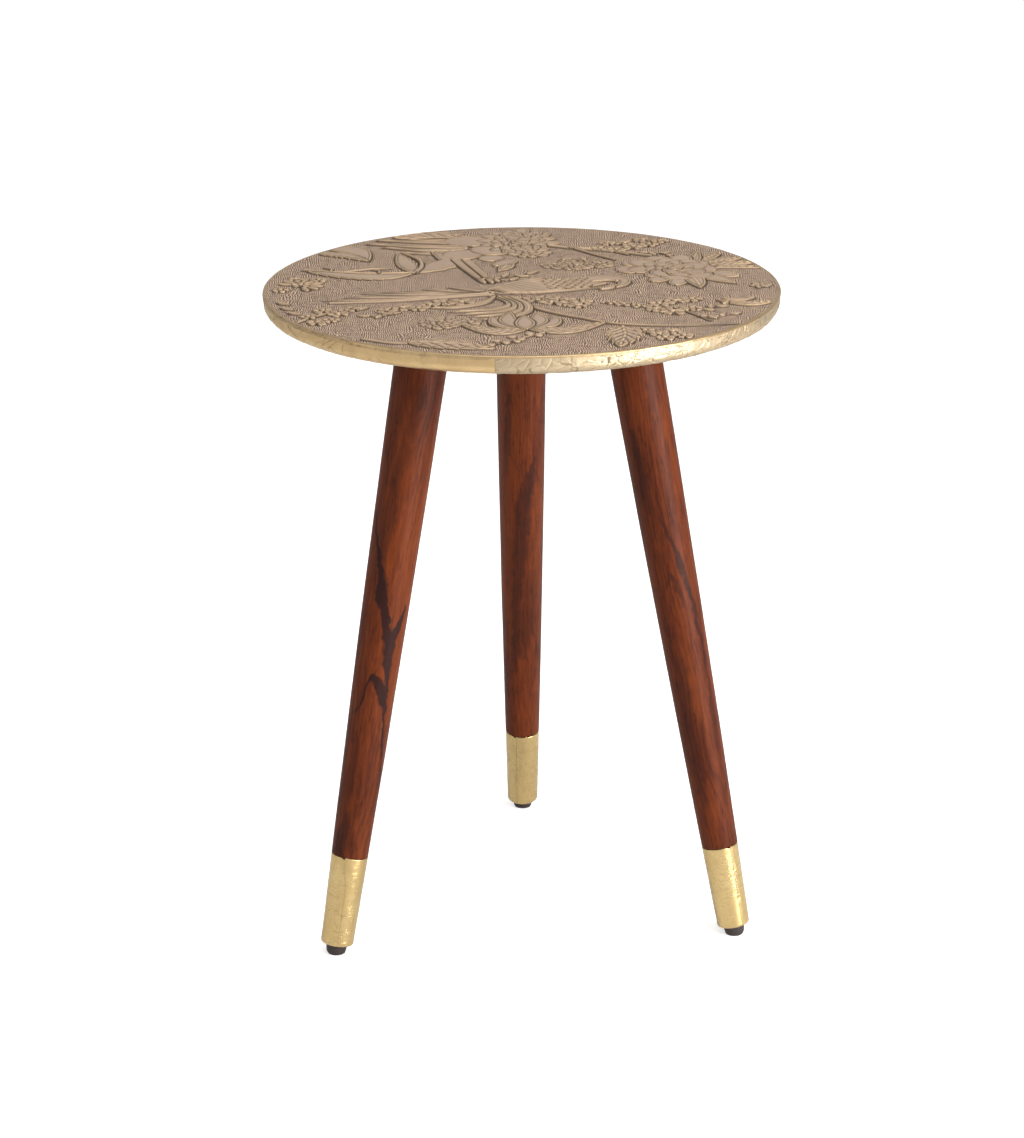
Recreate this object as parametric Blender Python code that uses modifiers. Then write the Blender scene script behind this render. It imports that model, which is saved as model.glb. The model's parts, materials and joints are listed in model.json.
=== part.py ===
# Brass tray table: a round top clad in embossed brass sheet on three splayed wooden legs,
# each screwed into a slanted steel plate and shod with a brass ferrule and a black glide.
# Metres, +Z up, the origin on the floor under the middle of the top.
import math

import bmesh
import bpy
from mathutils import Vector

# Driving dimensions
TABLE_HEIGHT = 0.509
TOP_RADIUS = 0.200
TOP_THICKNESS = 0.015
SHEET_THICKNESS = 0.0005
GAP = 0.0003
LIP_DEPTH = 0.003
LIP_ROUNDING = 0.0012
EDGE_ROUNDING = 0.0075
TURN_UNDER = 0.012
STRIP_JOINT_AZIMUTHS = {"crinkled": -95.8, "smooth": 84.2}
STRIP_JOINT_GAP = 0.0004

# The plates are set out by hand, so the legs are not quite 120 degrees apart
LEG_AZIMUTHS = {"right": -24.4, "rear": 90.2, "left": 215.6}
LEG_RING_CENTRE = Vector((0.0, -0.0109, 0.0))
FOOT_CIRCLE_RADIUS = 0.1841
SPLAY = math.radians(10.85)
LEG_RADIUS_AT_TOP = 0.0206
LEG_RADIUS_AT_FLOOR = 0.0126
LEG_SWELL = 0.0010
LEG_TOP_CHAMFER = 0.0008

FERRULE_LENGTHS = {"right": 0.0680, "rear": 0.0705, "left": 0.0733}
FERRULE_THICKNESS = 0.0008
FERRULE_LIP_RADIUS = 0.0100
FERRULE_ROUNDING = 0.0016
SEAM_AZIMUTHS = {"right": -57.0, "rear": -112.0, "left": -88.0}
PIN_HEIGHT_SHARES = {"lower": 0.36, "upper": 0.72}
PIN_SHANK_RADIUS = 0.0007
PIN_HEAD_RADIUS = 0.0013
PIN_HEAD_THICKNESS = 0.0005
PIN_LENGTH = 0.008

GLIDE_HEIGHT = 0.0085
GLIDE_TOP_RADIUS = 0.0084
GLIDE_FLOOR_RADIUS = 0.0070
NAIL_SHANK_RADIUS = 0.0011
NAIL_HEAD_RADIUS = 0.0027
NAIL_HEAD_THICKNESS = 0.0012
NAIL_RECESS = 0.0030
NAIL_LENGTH = 0.022

PLATE_WIDTH = 0.064
PLATE_THICKNESS = 0.002
PLATE_CORNER = 0.007
PLATE_SCREW_OFFSET = 0.0245
SEAT_DROP = 0.0115
SEAT_RADIUS = 0.017
BUSH_RADIUS = 0.006
BUSH_LENGTH = 0.009
WASHER_RADIUS = 0.012
WASHER_THICKNESS = 0.0015

BOLT_RADIUS = 0.0039
BOLT_PROJECTION = 0.0108
BOLT_WOOD_RADIUS = 0.0031
BOLT_WOOD_LENGTH = 0.034
SCREW_SHANK_RADIUS = 0.0018
SCREW_HEAD_RADIUS = 0.0038
SCREW_HEAD_THICKNESS = 0.0021
SCREW_LENGTH = 0.0115
SCREW_SLOT_WIDTH = 0.0011
SCREW_SLOT_DEPTH = 0.0010

# Heights and lengths that follow from them
TOP_BOTTOM_Z = TABLE_HEIGHT - TOP_THICKNESS
UNDERSIDE_Z = TOP_BOTTOM_Z + SHEET_THICKNESS + GAP
STRIP_RADIUS = TOP_RADIUS - SHEET_THICKNESS - GAP
SEAT_Z = UNDERSIDE_Z - SEAT_DROP
SEAT_TO_LEG = WASHER_THICKNESS + 2 * GAP
LEG_TOP_AT = SEAT_Z / math.cos(SPLAY) - SEAT_TO_LEG
SWELL_LENGTH = TOP_BOTTOM_Z / math.cos(SPLAY)
LEG_END_AT = GLIDE_HEIGHT + FERRULE_THICKNESS + GAP

parts = bpy.data.collections.new("brass_tray_table")
cutters = bpy.data.collections.new("cutters")


def clear_scene():
    for obj in list(bpy.data.objects):
        bpy.data.objects.remove(obj, do_unlink=True)
    bpy.context.scene.collection.children.link(parts)
    bpy.context.scene.collection.children.link(cutters)


def principled(name, colour, roughness, metallic):
    material = bpy.data.materials.new(name)
    material.use_nodes = True
    shader = material.node_tree.nodes["Principled BSDF"]
    shader.inputs["Base Color"].default_value = (*colour, 1.0)
    shader.inputs["Roughness"].default_value = roughness
    shader.inputs["Metallic"].default_value = metallic
    return material


def add_object(name, mesh, material, parent=None):
    obj = bpy.data.objects.new(name, mesh)
    if material is None:
        obj.hide_render = True
        obj.display_type = "WIRE"
        cutters.objects.link(obj)
    else:
        if not mesh.materials:
            mesh.materials.append(material)
        parts.objects.link(obj)
    obj.parent = parent
    return obj


# A solid or surface of revolution about Z. The profile holds (radius, height) points and
# runs down the outer side.
def turned(name, profile, steps, material, parent=None, sweep=math.tau):
    bm = bmesh.new()
    points = [bm.verts.new((radius, 0.0, height)) for radius, height in profile]
    for first, second in zip(points, points[1:]):
        bm.edges.new((first, second))
    mesh = bpy.data.meshes.new(name)
    bm.to_mesh(mesh)
    bm.free()
    obj = add_object(name, mesh, material, parent)
    screw = obj.modifiers.new("turn", "SCREW")
    screw.angle = sweep
    screw.steps = steps
    screw.render_steps = steps
    screw.use_merge_vertices = sweep == math.tau
    screw.merge_threshold = 0.00001
    screw.use_smooth_shade = True
    return obj


def tube_profile(outer, inner, top, bottom):
    return [(outer, top), (outer, bottom), (inner, bottom), (inner, top), (outer, top)]


def quarter_arc(centre_radius, centre_height, size, steps, start=0.0):
    turns = [start - math.pi / 2 * step / steps for step in range(steps + 1)]
    return [
        (centre_radius + size * math.cos(turn), centre_height + size * math.sin(turn))
        for turn in turns
    ]


def box(name, size, material, centre=(0.0, 0.0, 0.0), parent=None):
    bm = bmesh.new()
    bmesh.ops.create_cube(bm, size=1.0)
    bmesh.ops.scale(bm, vec=size, verts=bm.verts)
    bmesh.ops.translate(bm, vec=centre, verts=bm.verts)
    mesh = bpy.data.meshes.new(name)
    bm.to_mesh(mesh)
    bm.free()
    return add_object(name, mesh, material, parent)


def drill(name, radius, bottom, top, parent=None, segments=16):
    bm = bmesh.new()
    bmesh.ops.create_cone(
        bm, cap_ends=True, segments=segments, radius1=radius, radius2=radius, depth=top - bottom
    )
    bmesh.ops.translate(bm, vec=(0.0, 0.0, (top + bottom) / 2), verts=bm.verts)
    mesh = bpy.data.meshes.new(name)
    bm.to_mesh(mesh)
    bm.free()
    return add_object(name, mesh, None, parent)


def combine(obj, other, operation):
    boolean = obj.modifiers.new(operation.lower(), "BOOLEAN")
    boolean.operation = operation
    boolean.solver = "EXACT"
    boolean.object = other


# Distance from the floor along a leg's axis gives the leg's outer radius
def leg_radius(along):
    share = along / SWELL_LENGTH
    straight = LEG_RADIUS_AT_FLOOR + (LEG_RADIUS_AT_TOP - LEG_RADIUS_AT_FLOOR) * share
    return straight + 4 * LEG_SWELL * share * (1 - share)


def build_top(materials):
    core_radius = STRIP_RADIUS - SHEET_THICKNESS - GAP
    core_top = TABLE_HEIGHT - SHEET_THICKNESS - GAP
    arc_radius = STRIP_RADIUS - EDGE_ROUNDING
    arc_z = TOP_BOTTOM_Z + EDGE_ROUNDING
    core_rounding = arc_z - UNDERSIDE_Z
    core_profile = [(0.0, core_top), (core_radius, core_top)]
    core_profile += quarter_arc(arc_radius, arc_z, core_rounding, 3)
    core_profile += [(0.0, UNDERSIDE_Z)]
    core = turned("top_core", core_profile, 72, materials["core"])

    under_sheet = TABLE_HEIGHT - SHEET_THICKNESS
    lip_z = TABLE_HEIGHT - LIP_DEPTH
    sheet_profile = [(0.0, TABLE_HEIGHT)]
    sheet_profile += quarter_arc(
        TOP_RADIUS - LIP_ROUNDING, TABLE_HEIGHT - LIP_ROUNDING, LIP_ROUNDING, 2, math.pi / 2
    )
    sheet_profile += [
        (TOP_RADIUS, lip_z),
        (TOP_RADIUS - SHEET_THICKNESS, lip_z),
        (TOP_RADIUS - SHEET_THICKNESS, under_sheet),
        (0.0, under_sheet),
    ]
    turned("embossed_top_sheet", sheet_profile, 72, materials["embossed_brass"])

    strip_profile = [(STRIP_RADIUS, under_sheet - GAP)]
    strip_profile += quarter_arc(arc_radius, arc_z, EDGE_ROUNDING, 4)
    strip_profile += [(arc_radius - TURN_UNDER, TOP_BOTTOM_Z)]
    joint_turn = STRIP_JOINT_GAP / TOP_RADIUS
    for strip, azimuth in STRIP_JOINT_AZIMUTHS.items():
        obj = turned(
            f"edge_strip_{strip}",
            strip_profile,
            36,
            materials["edge_brass"],
            sweep=math.pi - joint_turn,
        )
        obj.rotation_euler.z = math.radians(azimuth) + joint_turn / 2
        shell = obj.modifiers.new("sheet", "SOLIDIFY")
        shell.thickness = SHEET_THICKNESS
        shell.offset = -1.0
        shell.use_even_offset = True
    return core


# The axis of one leg: an empty on the plate's slanted seat, its Z up along the leg and its X
# pointing away from the middle of the table
def leg_axis(side):
    azimuth = math.radians(LEG_AZIMUTHS[side])
    reach = FOOT_CIRCLE_RADIUS - SEAT_Z * math.tan(SPLAY)
    empty = bpy.data.objects.new(f"axis_{side}", None)
    parts.objects.link(empty)
    empty.location = LEG_RING_CENTRE + Vector(
        (reach * math.cos(azimuth), reach * math.sin(azimuth), SEAT_Z)
    )
    empty.rotation_euler = (0.0, -SPLAY, azimuth)
    return empty


# Height on a leg's axis empty of a place that is this far up the axis from the floor
def on_axis(along):
    return along - SEAT_Z / math.cos(SPLAY)


def build_plate(side, axis, core, screw_mesh, materials):
    foot = bpy.data.objects.new(f"plate_place_{side}", None)
    parts.objects.link(foot)
    foot.location = (axis.location.x, axis.location.y, UNDERSIDE_Z - GAP)
    foot.rotation_euler.z = axis.rotation_euler.z

    plate = box(
        f"leg_plate_{side}",
        (PLATE_WIDTH, PLATE_WIDTH, PLATE_THICKNESS),
        materials["zinc_steel"],
        (0.0, 0.0, -PLATE_THICKNESS / 2),
        foot,
    )
    # Only the four upright edges are rounded
    weights = plate.data.attributes.new("bevel_weight_edge", "FLOAT", "EDGE")
    for edge in plate.data.edges:
        ends = [plate.data.vertices[index].co for index in edge.vertices]
        weights.data[edge.index].value = float(abs(ends[0].z - ends[1].z) > PLATE_THICKNESS / 2)
    corners = plate.modifiers.new("corners", "BEVEL")
    corners.limit_method = "WEIGHT"
    corners.width = PLATE_CORNER
    corners.segments = 4

    boss = drill(f"seat_boss_{side}", SEAT_RADIUS, 0.0, 2 * SEAT_DROP, axis, 30)
    above = box(
        f"above_plate_{side}",
        (PLATE_WIDTH, PLATE_WIDTH, 2 * SEAT_DROP),
        None,
        (0.0, 0.0, SEAT_DROP),
        foot,
    )
    bore = drill(
        f"bush_bore_{side}", BUSH_RADIUS + GAP, -SEAT_DROP, 3 * SEAT_DROP, axis, 24
    )
    combine(plate, boss, "UNION")
    combine(plate, above, "DIFFERENCE")
    combine(plate, bore, "DIFFERENCE")

    turned(
        f"threaded_bush_{side}",
        tube_profile(BUSH_RADIUS, BOLT_RADIUS + GAP, BUSH_LENGTH, 0.0),
        24,
        materials["zinc_steel"],
        axis,
    )

    for number in range(4):
        turn = math.radians(45 + 90 * number)
        reach = PLATE_SCREW_OFFSET * math.sqrt(2)
        place = (reach * math.cos(turn), reach * math.sin(turn), 0.0)
        hole = drill(
            f"screw_hole_{side}_{number + 1}",
            SCREW_SHANK_RADIUS + GAP,
            -2 * PLATE_THICKNESS,
            SCREW_LENGTH - PLATE_THICKNESS + GAP,
            foot,
            10,
        )
        hole.location = place
        combine(plate, hole, "DIFFERENCE")
        combine(core, hole, "DIFFERENCE")
        screw = add_object(
            f"plate_screw_{side}_{number + 1}", screw_mesh, materials["zinc_steel"], foot
        )
        screw.location = (place[0], place[1], -PLATE_THICKNESS - GAP)
        screw.rotation_euler.z = math.radians(25 * number)


# A pan-head wood screw with a cross slot, its head's bearing face at the origin
def screw_mesh(materials):
    rounding = SCREW_HEAD_THICKNESS * 0.6
    profile = [
        (0.0, SCREW_LENGTH - GAP),
        (SCREW_SHANK_RADIUS, SCREW_LENGTH - 0.003),
        (SCREW_SHANK_RADIUS, 0.0),
        (SCREW_HEAD_RADIUS, 0.0),
    ]
    profile += quarter_arc(
        SCREW_HEAD_RADIUS - rounding, rounding - SCREW_HEAD_THICKNESS, rounding, 1
    )
    profile += [(0.0, -SCREW_HEAD_THICKNESS)]
    screw = turned("screw_pattern", profile, 10, materials["zinc_steel"])
    slot_size = (1.3 * SCREW_HEAD_RADIUS, SCREW_SLOT_WIDTH, 2 * SCREW_SLOT_DEPTH)
    for name, turn in (("slot_along", 0.0), ("slot_across", math.pi / 2)):
        slot = box(name, slot_size, None)
        slot.location.z = -SCREW_HEAD_THICKNESS
        slot.rotation_euler.z = turn
        combine(screw, slot, "DIFFERENCE")
    bpy.context.view_layer.update()
    graph = bpy.context.evaluated_depsgraph_get()
    mesh = bpy.data.meshes.new_from_object(screw.evaluated_get(graph))
    bpy.data.objects.remove(screw, do_unlink=True)
    return mesh


def build_leg(side, axis, materials):
    leg_top = on_axis(LEG_TOP_AT)
    leg_end = on_axis(LEG_END_AT)
    shoulder_at = GLIDE_HEIGHT + FERRULE_LENGTHS[side] + GAP
    sleeve = FERRULE_THICKNESS + GAP

    # From the blind hole for the hanger bolt, over the top, down the outside, to the blind
    # hole for the glide's nail
    bolt_hole = BOLT_WOOD_RADIUS + GAP
    nail_hole = NAIL_SHANK_RADIUS + GAP
    bolt_hole_end = leg_top - BOLT_WOOD_LENGTH - GAP
    nail_hole_end = on_axis(NAIL_RECESS + NAIL_LENGTH + GAP)
    profile = [
        (0.0, bolt_hole_end),
        (bolt_hole, bolt_hole_end),
        (bolt_hole, leg_top),
        (leg_radius(LEG_TOP_AT) - LEG_TOP_CHAMFER, leg_top),
    ]
    rings = 5
    highest = LEG_TOP_AT - LEG_TOP_CHAMFER
    for ring in range(rings + 1):
        along = highest + (shoulder_at - highest) * ring / rings
        profile.append((leg_radius(along), on_axis(along)))
    profile += [
        (leg_radius(shoulder_at) - sleeve, on_axis(shoulder_at)),
        (leg_radius(LEG_END_AT + FERRULE_ROUNDING) - sleeve, on_axis(LEG_END_AT + FERRULE_ROUNDING)),
        (leg_radius(LEG_END_AT) - sleeve - FERRULE_ROUNDING, leg_end),
        (nail_hole, leg_end),
        (nail_hole, nail_hole_end),
        (0.0, nail_hole_end),
    ]
    leg = turned(f"leg_{side}", profile, 28, materials["wood"], axis)

    # The ferrule is a tapered sleeve, flush with the wood above it, its foot rolled inwards
    top_at = GLIDE_HEIGHT + FERRULE_LENGTHS[side]
    roll_at = GLIDE_HEIGHT + FERRULE_ROUNDING
    roll_radius = leg_radius(roll_at) - FERRULE_ROUNDING
    sleeve_profile = [(leg_radius(top_at), on_axis(top_at))]
    sleeve_profile += quarter_arc(roll_radius, on_axis(roll_at), FERRULE_ROUNDING, 2)
    sleeve_profile += [
        (FERRULE_LIP_RADIUS, on_axis(GLIDE_HEIGHT)),
        (FERRULE_LIP_RADIUS, on_axis(GLIDE_HEIGHT + FERRULE_THICKNESS)),
        (roll_radius, on_axis(GLIDE_HEIGHT + FERRULE_THICKNESS)),
        (leg_radius(roll_at) - FERRULE_THICKNESS, on_axis(roll_at)),
        (leg_radius(top_at) - FERRULE_THICKNESS, on_axis(top_at)),
        (leg_radius(top_at), on_axis(top_at)),
    ]
    ferrule = turned(f"ferrule_{side}", sleeve_profile, 28, materials["satin_brass"], axis)

    pin_profile = [
        (0.0, 0.0),
        (PIN_HEAD_RADIUS, 0.0),
        (PIN_HEAD_RADIUS, -PIN_HEAD_THICKNESS),
        (PIN_SHANK_RADIUS, -PIN_HEAD_THICKNESS),
        (PIN_SHANK_RADIUS, 0.0015 - PIN_LENGTH),
        (0.0, -PIN_LENGTH),
    ]
    seam = math.radians(SEAM_AZIMUTHS[side] - LEG_AZIMUTHS[side])
    for height, share in PIN_HEIGHT_SHARES.items():
        along = GLIDE_HEIGHT + share * FERRULE_LENGTHS[side]
        radius = leg_radius(along)
        place = Vector((radius * math.cos(seam), radius * math.sin(seam), on_axis(along)))
        hole_profile = [
            (0.0, 0.002),
            (PIN_HEAD_RADIUS + GAP, 0.002),
            (PIN_HEAD_RADIUS + GAP, -sleeve),
            (PIN_SHANK_RADIUS + GAP, -sleeve),
            (PIN_SHANK_RADIUS + GAP, -PIN_LENGTH - GAP),
            (0.0, -PIN_LENGTH - GAP),
        ]
        hole = turned(f"pin_hole_{side}_{height}", hole_profile, 10, None, axis)
        pin = turned(f"ferrule_pin_{side}_{height}", pin_profile, 10, materials["satin_brass"], axis)
        for obj in (hole, pin):
            obj.location = place
            obj.rotation_euler = (0.0, math.pi / 2, seam)
        combine(ferrule, hole, "DIFFERENCE")
        combine(leg, hole, "DIFFERENCE")


def build_bolt_and_washer(side, axis, materials):
    leg_top = on_axis(LEG_TOP_AT)
    washer_top = on_axis(LEG_TOP_AT + GAP + WASHER_THICKNESS)
    turned(
        f"washer_{side}",
        tube_profile(WASHER_RADIUS, BOLT_RADIUS + GAP, washer_top, leg_top + GAP),
        24,
        materials["zinc_steel"],
        axis,
    )
    bolt_profile = [
        (0.0, leg_top + BOLT_PROJECTION),
        (BOLT_RADIUS - 0.0008, leg_top + BOLT_PROJECTION),
        (BOLT_RADIUS, leg_top + BOLT_PROJECTION - 0.0008),
        (BOLT_RADIUS, leg_top + GAP),
        (BOLT_WOOD_RADIUS, leg_top),
        (BOLT_WOOD_RADIUS, leg_top - BOLT_WOOD_LENGTH + 0.005),
        (0.0, leg_top - BOLT_WOOD_LENGTH),
    ]
    turned(f"hanger_bolt_{side}", bolt_profile, 14, materials["zinc_steel"], axis)


# The glide is cut flat where it meets the floor, though its nail follows the leg's axis
def build_glide(side, axis, below_floor, materials):
    top = on_axis(LEG_END_AT - GAP)
    bottom_at = -2 * GLIDE_TOP_RADIUS * math.tan(SPLAY)
    taper = (GLIDE_TOP_RADIUS - GLIDE_FLOOR_RADIUS) / GLIDE_HEIGHT
    recess = on_axis(NAIL_RECESS + NAIL_HEAD_THICKNESS + GAP)
    profile = [
        (NAIL_SHANK_RADIUS + GAP, recess),
        (NAIL_SHANK_RADIUS + GAP, top),
        (GLIDE_TOP_RADIUS - 0.0006, top),
        (GLIDE_TOP_RADIUS, top - 0.0006),
        (GLIDE_FLOOR_RADIUS + taper * bottom_at, on_axis(bottom_at)),
        (NAIL_HEAD_RADIUS + GAP, on_axis(bottom_at)),
        (NAIL_HEAD_RADIUS + GAP, recess),
        (NAIL_SHANK_RADIUS + GAP, recess),
    ]
    glide = turned(f"glide_{side}", profile, 24, materials["black_rubber"], axis)
    combine(glide, below_floor, "DIFFERENCE")

    head_bottom = on_axis(NAIL_RECESS)
    nail_profile = [
        (0.0, head_bottom + NAIL_LENGTH),
        (NAIL_SHANK_RADIUS, head_bottom + NAIL_LENGTH - 0.003),
        (NAIL_SHANK_RADIUS, head_bottom + NAIL_HEAD_THICKNESS),
        (NAIL_HEAD_RADIUS, head_bottom + NAIL_HEAD_THICKNESS),
        (NAIL_HEAD_RADIUS, head_bottom),
        (0.0, head_bottom),
    ]
    turned(f"glide_nail_{side}", nail_profile, 10, materials["zinc_steel"], axis)


def build_table():
    clear_scene()
    materials = {
        "core": principled("core", (0.20, 0.13, 0.08), 0.8, 0.0),
        "embossed_brass": principled("embossed_brass", (0.48, 0.36, 0.24), 0.42, 1.0),
        "edge_brass": principled("edge_brass", (0.78, 0.66, 0.42), 0.35, 1.0),
        "satin_brass": principled("satin_brass", (0.72, 0.57, 0.33), 0.38, 1.0),
        "wood": principled("wood", (0.27, 0.12, 0.06), 0.42, 0.0),
        "black_rubber": principled("black_rubber", (0.02, 0.02, 0.02), 0.6, 0.0),
        "zinc_steel": principled("zinc_steel", (0.55, 0.55, 0.56), 0.35, 1.0),
    }
    core = build_top(materials)
    screw = screw_mesh(materials)
    floor_span = 4 * TOP_RADIUS
    below_floor = box(
        "below_floor", (floor_span, floor_span, 0.1), None, (0.0, 0.0, -0.05)
    )
    for side in LEG_AZIMUTHS:
        axis = leg_axis(side)
        build_plate(side, axis, core, screw, materials)
        build_leg(side, axis, materials)
        build_bolt_and_washer(side, axis, materials)
        build_glide(side, axis, below_floor, materials)


build_table()
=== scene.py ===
import json
import math

import bpy
import numpy as np
from mathutils import Matrix, Vector


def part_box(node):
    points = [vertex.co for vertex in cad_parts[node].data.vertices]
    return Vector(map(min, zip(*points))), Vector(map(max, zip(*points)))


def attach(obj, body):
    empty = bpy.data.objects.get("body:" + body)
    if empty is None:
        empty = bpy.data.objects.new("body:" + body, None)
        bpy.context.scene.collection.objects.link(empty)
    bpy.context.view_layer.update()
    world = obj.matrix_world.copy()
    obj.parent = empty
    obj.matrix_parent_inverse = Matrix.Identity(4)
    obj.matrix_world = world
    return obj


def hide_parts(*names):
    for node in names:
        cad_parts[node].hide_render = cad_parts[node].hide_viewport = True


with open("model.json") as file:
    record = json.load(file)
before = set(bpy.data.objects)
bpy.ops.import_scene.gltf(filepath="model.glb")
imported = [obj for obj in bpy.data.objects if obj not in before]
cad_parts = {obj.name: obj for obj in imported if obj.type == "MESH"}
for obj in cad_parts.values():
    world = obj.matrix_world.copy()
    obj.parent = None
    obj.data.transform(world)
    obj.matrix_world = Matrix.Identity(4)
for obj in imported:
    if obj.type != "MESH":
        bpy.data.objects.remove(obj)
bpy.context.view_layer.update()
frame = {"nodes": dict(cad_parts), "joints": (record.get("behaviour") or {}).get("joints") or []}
print("stage: frame loaded")

mm = 0.001
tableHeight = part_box("embossed_top_sheet")[1].z
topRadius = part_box("embossed_top_sheet")[1].x
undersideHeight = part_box("edge_strip_smooth")[0].z
sides = ("right", "rear", "left")


# Numbers the quads of a grid of rows x columns points; wrap joins the last column to the first
def gridQuads(rows, columns, wrap=False):
    index = np.arange(rows * columns).reshape(rows, columns)
    if wrap:
        index = np.hstack([index, index[:, :1]])
    return np.stack([index[:-1, :-1], index[1:, :-1], index[1:, 1:], index[:-1, 1:]], axis=-1).reshape(-1, 4)


# Makes one object from points (n x 3) and quads (m x 4), with any values kept per point
def makePiece(name, points, quads, body, material, values=None, normals=None):
    mesh = bpy.data.meshes.new(name)
    mesh.from_pydata(points.tolist(), [], quads.tolist())
    mesh.materials.append(material)
    for key, numbers in (values or {}).items():
        layer = mesh.attributes.new(key, "FLOAT", "POINT")
        layer.data.foreach_set("value", np.asarray(numbers, np.float32).ravel())
    mesh.shade_smooth()
    mesh.validate()
    mesh.update()
    if normals is not None:
        mesh.normals_split_custom_set_from_vertices(normals.tolist())
    piece = bpy.data.objects.new(name, mesh)
    bpy.context.scene.collection.objects.link(piece)
    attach(piece, body)
    return piece


# Smooth step: three times the square less twice the cube of the value, held between 0 and 1
def smoothStep(value):
    eased = np.clip(value, 0.0, 1.0)
    return eased * eased * (3.0 - 2.0 * eased)


# Value noise: random numbers on a lattice of uCells x vCells over the unit square, joined by a
# smooth step between lattice points, periodic in u; the result runs from -1 to 1
def latticeNoise(u, v, uCells, vCells, seed):
    numbers = np.random.default_rng(seed).uniform(-1.0, 1.0, (uCells, vCells + 2))
    along = (u % 1.0) * uCells
    across = np.clip(v, 0.0, 1.0) * vCells
    i = np.floor(along).astype(int)
    j = np.floor(across).astype(int)
    s = smoothStep(along - i)
    t = smoothStep(across - j)
    i0 = i % uCells
    i1 = (i + 1) % uCells
    near = numbers[i0, j] * (1 - s) + numbers[i1, j] * s
    far = numbers[i0, j + 1] * (1 - s) + numbers[i1, j + 1] * s
    return near * (1 - t) + far * t


# Creases: the difference between the distances to the two nearest of many random points, which is
# 0 along the lines between their cells; u is periodic, and both are in millimetres
def creaseField(u, v, uLength, vLength, cellSize, seed):
    rng = np.random.default_rng(seed)
    count = max(4, int(uLength * vLength / cellSize**2))
    seedU = rng.uniform(0.0, uLength, count)
    seedV = rng.uniform(-cellSize, vLength + cellSize, count)
    nearest = np.full(u.shape, 1e9)
    second = np.full(u.shape, 1e9)
    for pointU, pointV in zip(seedU, seedV):
        gapU = np.abs(u - pointU)
        gapU = np.minimum(gapU, uLength - gapU)
        distance = np.hypot(gapU, v - pointV)
        second = np.minimum(second, np.maximum(nearest, distance))
        nearest = np.minimum(nearest, distance)
    return second - nearest


# A new material, its node tree and its shader
def newMaterial(name):
    material = bpy.data.materials.new(name)
    material.use_nodes = True
    tree = material.node_tree
    return material, tree, tree.nodes["Principled BSDF"]


# Adds a node; an input goes by its name, or as i0, i1 by its number, and takes a socket or a value
def addNode(tree, kind, settings=None, **inputs):
    node = tree.nodes.new(kind)
    for key, value in (settings or {}).items():
        setattr(node, key, value)
    for key, value in inputs.items():
        socket = node.inputs[int(key[1:])] if key[0] == "i" and key[1:].isdigit() else node.inputs[key]
        if isinstance(value, bpy.types.NodeSocket):
            tree.links.new(value, socket)
        else:
            socket.default_value = value
    return node


def mathNode(tree, operation, first, second=0.0, clamp=False):
    settings = {"operation": operation, "use_clamp": clamp}
    return addNode(tree, "ShaderNodeMath", settings, i0=first, i1=second).outputs[0]


def times(tree, first, second, clamp=False):
    return mathNode(tree, "MULTIPLY", first, second, clamp)


def plus(tree, first, second, clamp=False):
    return mathNode(tree, "ADD", first, second, clamp)


def minus(tree, first, second):
    return mathNode(tree, "SUBTRACT", first, second)


def mixColours(tree, factor, first, second):
    return addNode(tree, "ShaderNodeMix", {"data_type": "RGBA"}, i0=factor, i6=first, i7=second).outputs[2]


# A grey ramp; each stop is (position, brightness)
def rampNode(tree, factor, *stops):
    node = addNode(tree, "ShaderNodeValToRGB", i0=factor)
    ramp = node.color_ramp
    while len(ramp.elements) < len(stops):
        ramp.elements.new(0.5)
    for element, (position, value) in zip(ramp.elements, stops):
        element.position = position
        element.color = (value, value, value, 1.0)
    return node.outputs[0]


def noiseNode(tree, vector, scale, detail=3.0, roughness=0.5, distortion=0.0):
    return addNode(tree, "ShaderNodeTexNoise", Vector=vector, Scale=scale, Detail=detail, Roughness=roughness,
                   Distortion=distortion).outputs["Fac"]


# Scales coordinates, so that less than 1 in a direction draws a pattern out that way, and turns them
def mapped(tree, vector, scale, turn=(0.0, 0.0, 0.0)):
    return addNode(tree, "ShaderNodeMapping", Vector=vector, Rotation=turn, Scale=scale).outputs[0]


# A value kept for each point of a piece
def attributeNode(tree, name):
    return addNode(tree, "ShaderNodeAttribute", {"attribute_name": name}).outputs["Fac"]


# A shader node group with named sockets; sockets are (name, type, default)
def newGroup(name, inputs, outputs):
    group = bpy.data.node_groups.new(name, "ShaderNodeTree")
    for label, kind, value in inputs:
        socket = group.interface.new_socket(label, in_out="INPUT", socket_type=kind)
        if value is not None:
            socket.default_value = value
    for label, kind in outputs:
        group.interface.new_socket(label, in_out="OUTPUT", socket_type=kind)
    return group, group.nodes.new("NodeGroupInput"), group.nodes.new("NodeGroupOutput")


def useGroup(tree, group, **inputs):
    return addNode(tree, "ShaderNodeGroup", {"node_tree": group}, **inputs)


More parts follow.
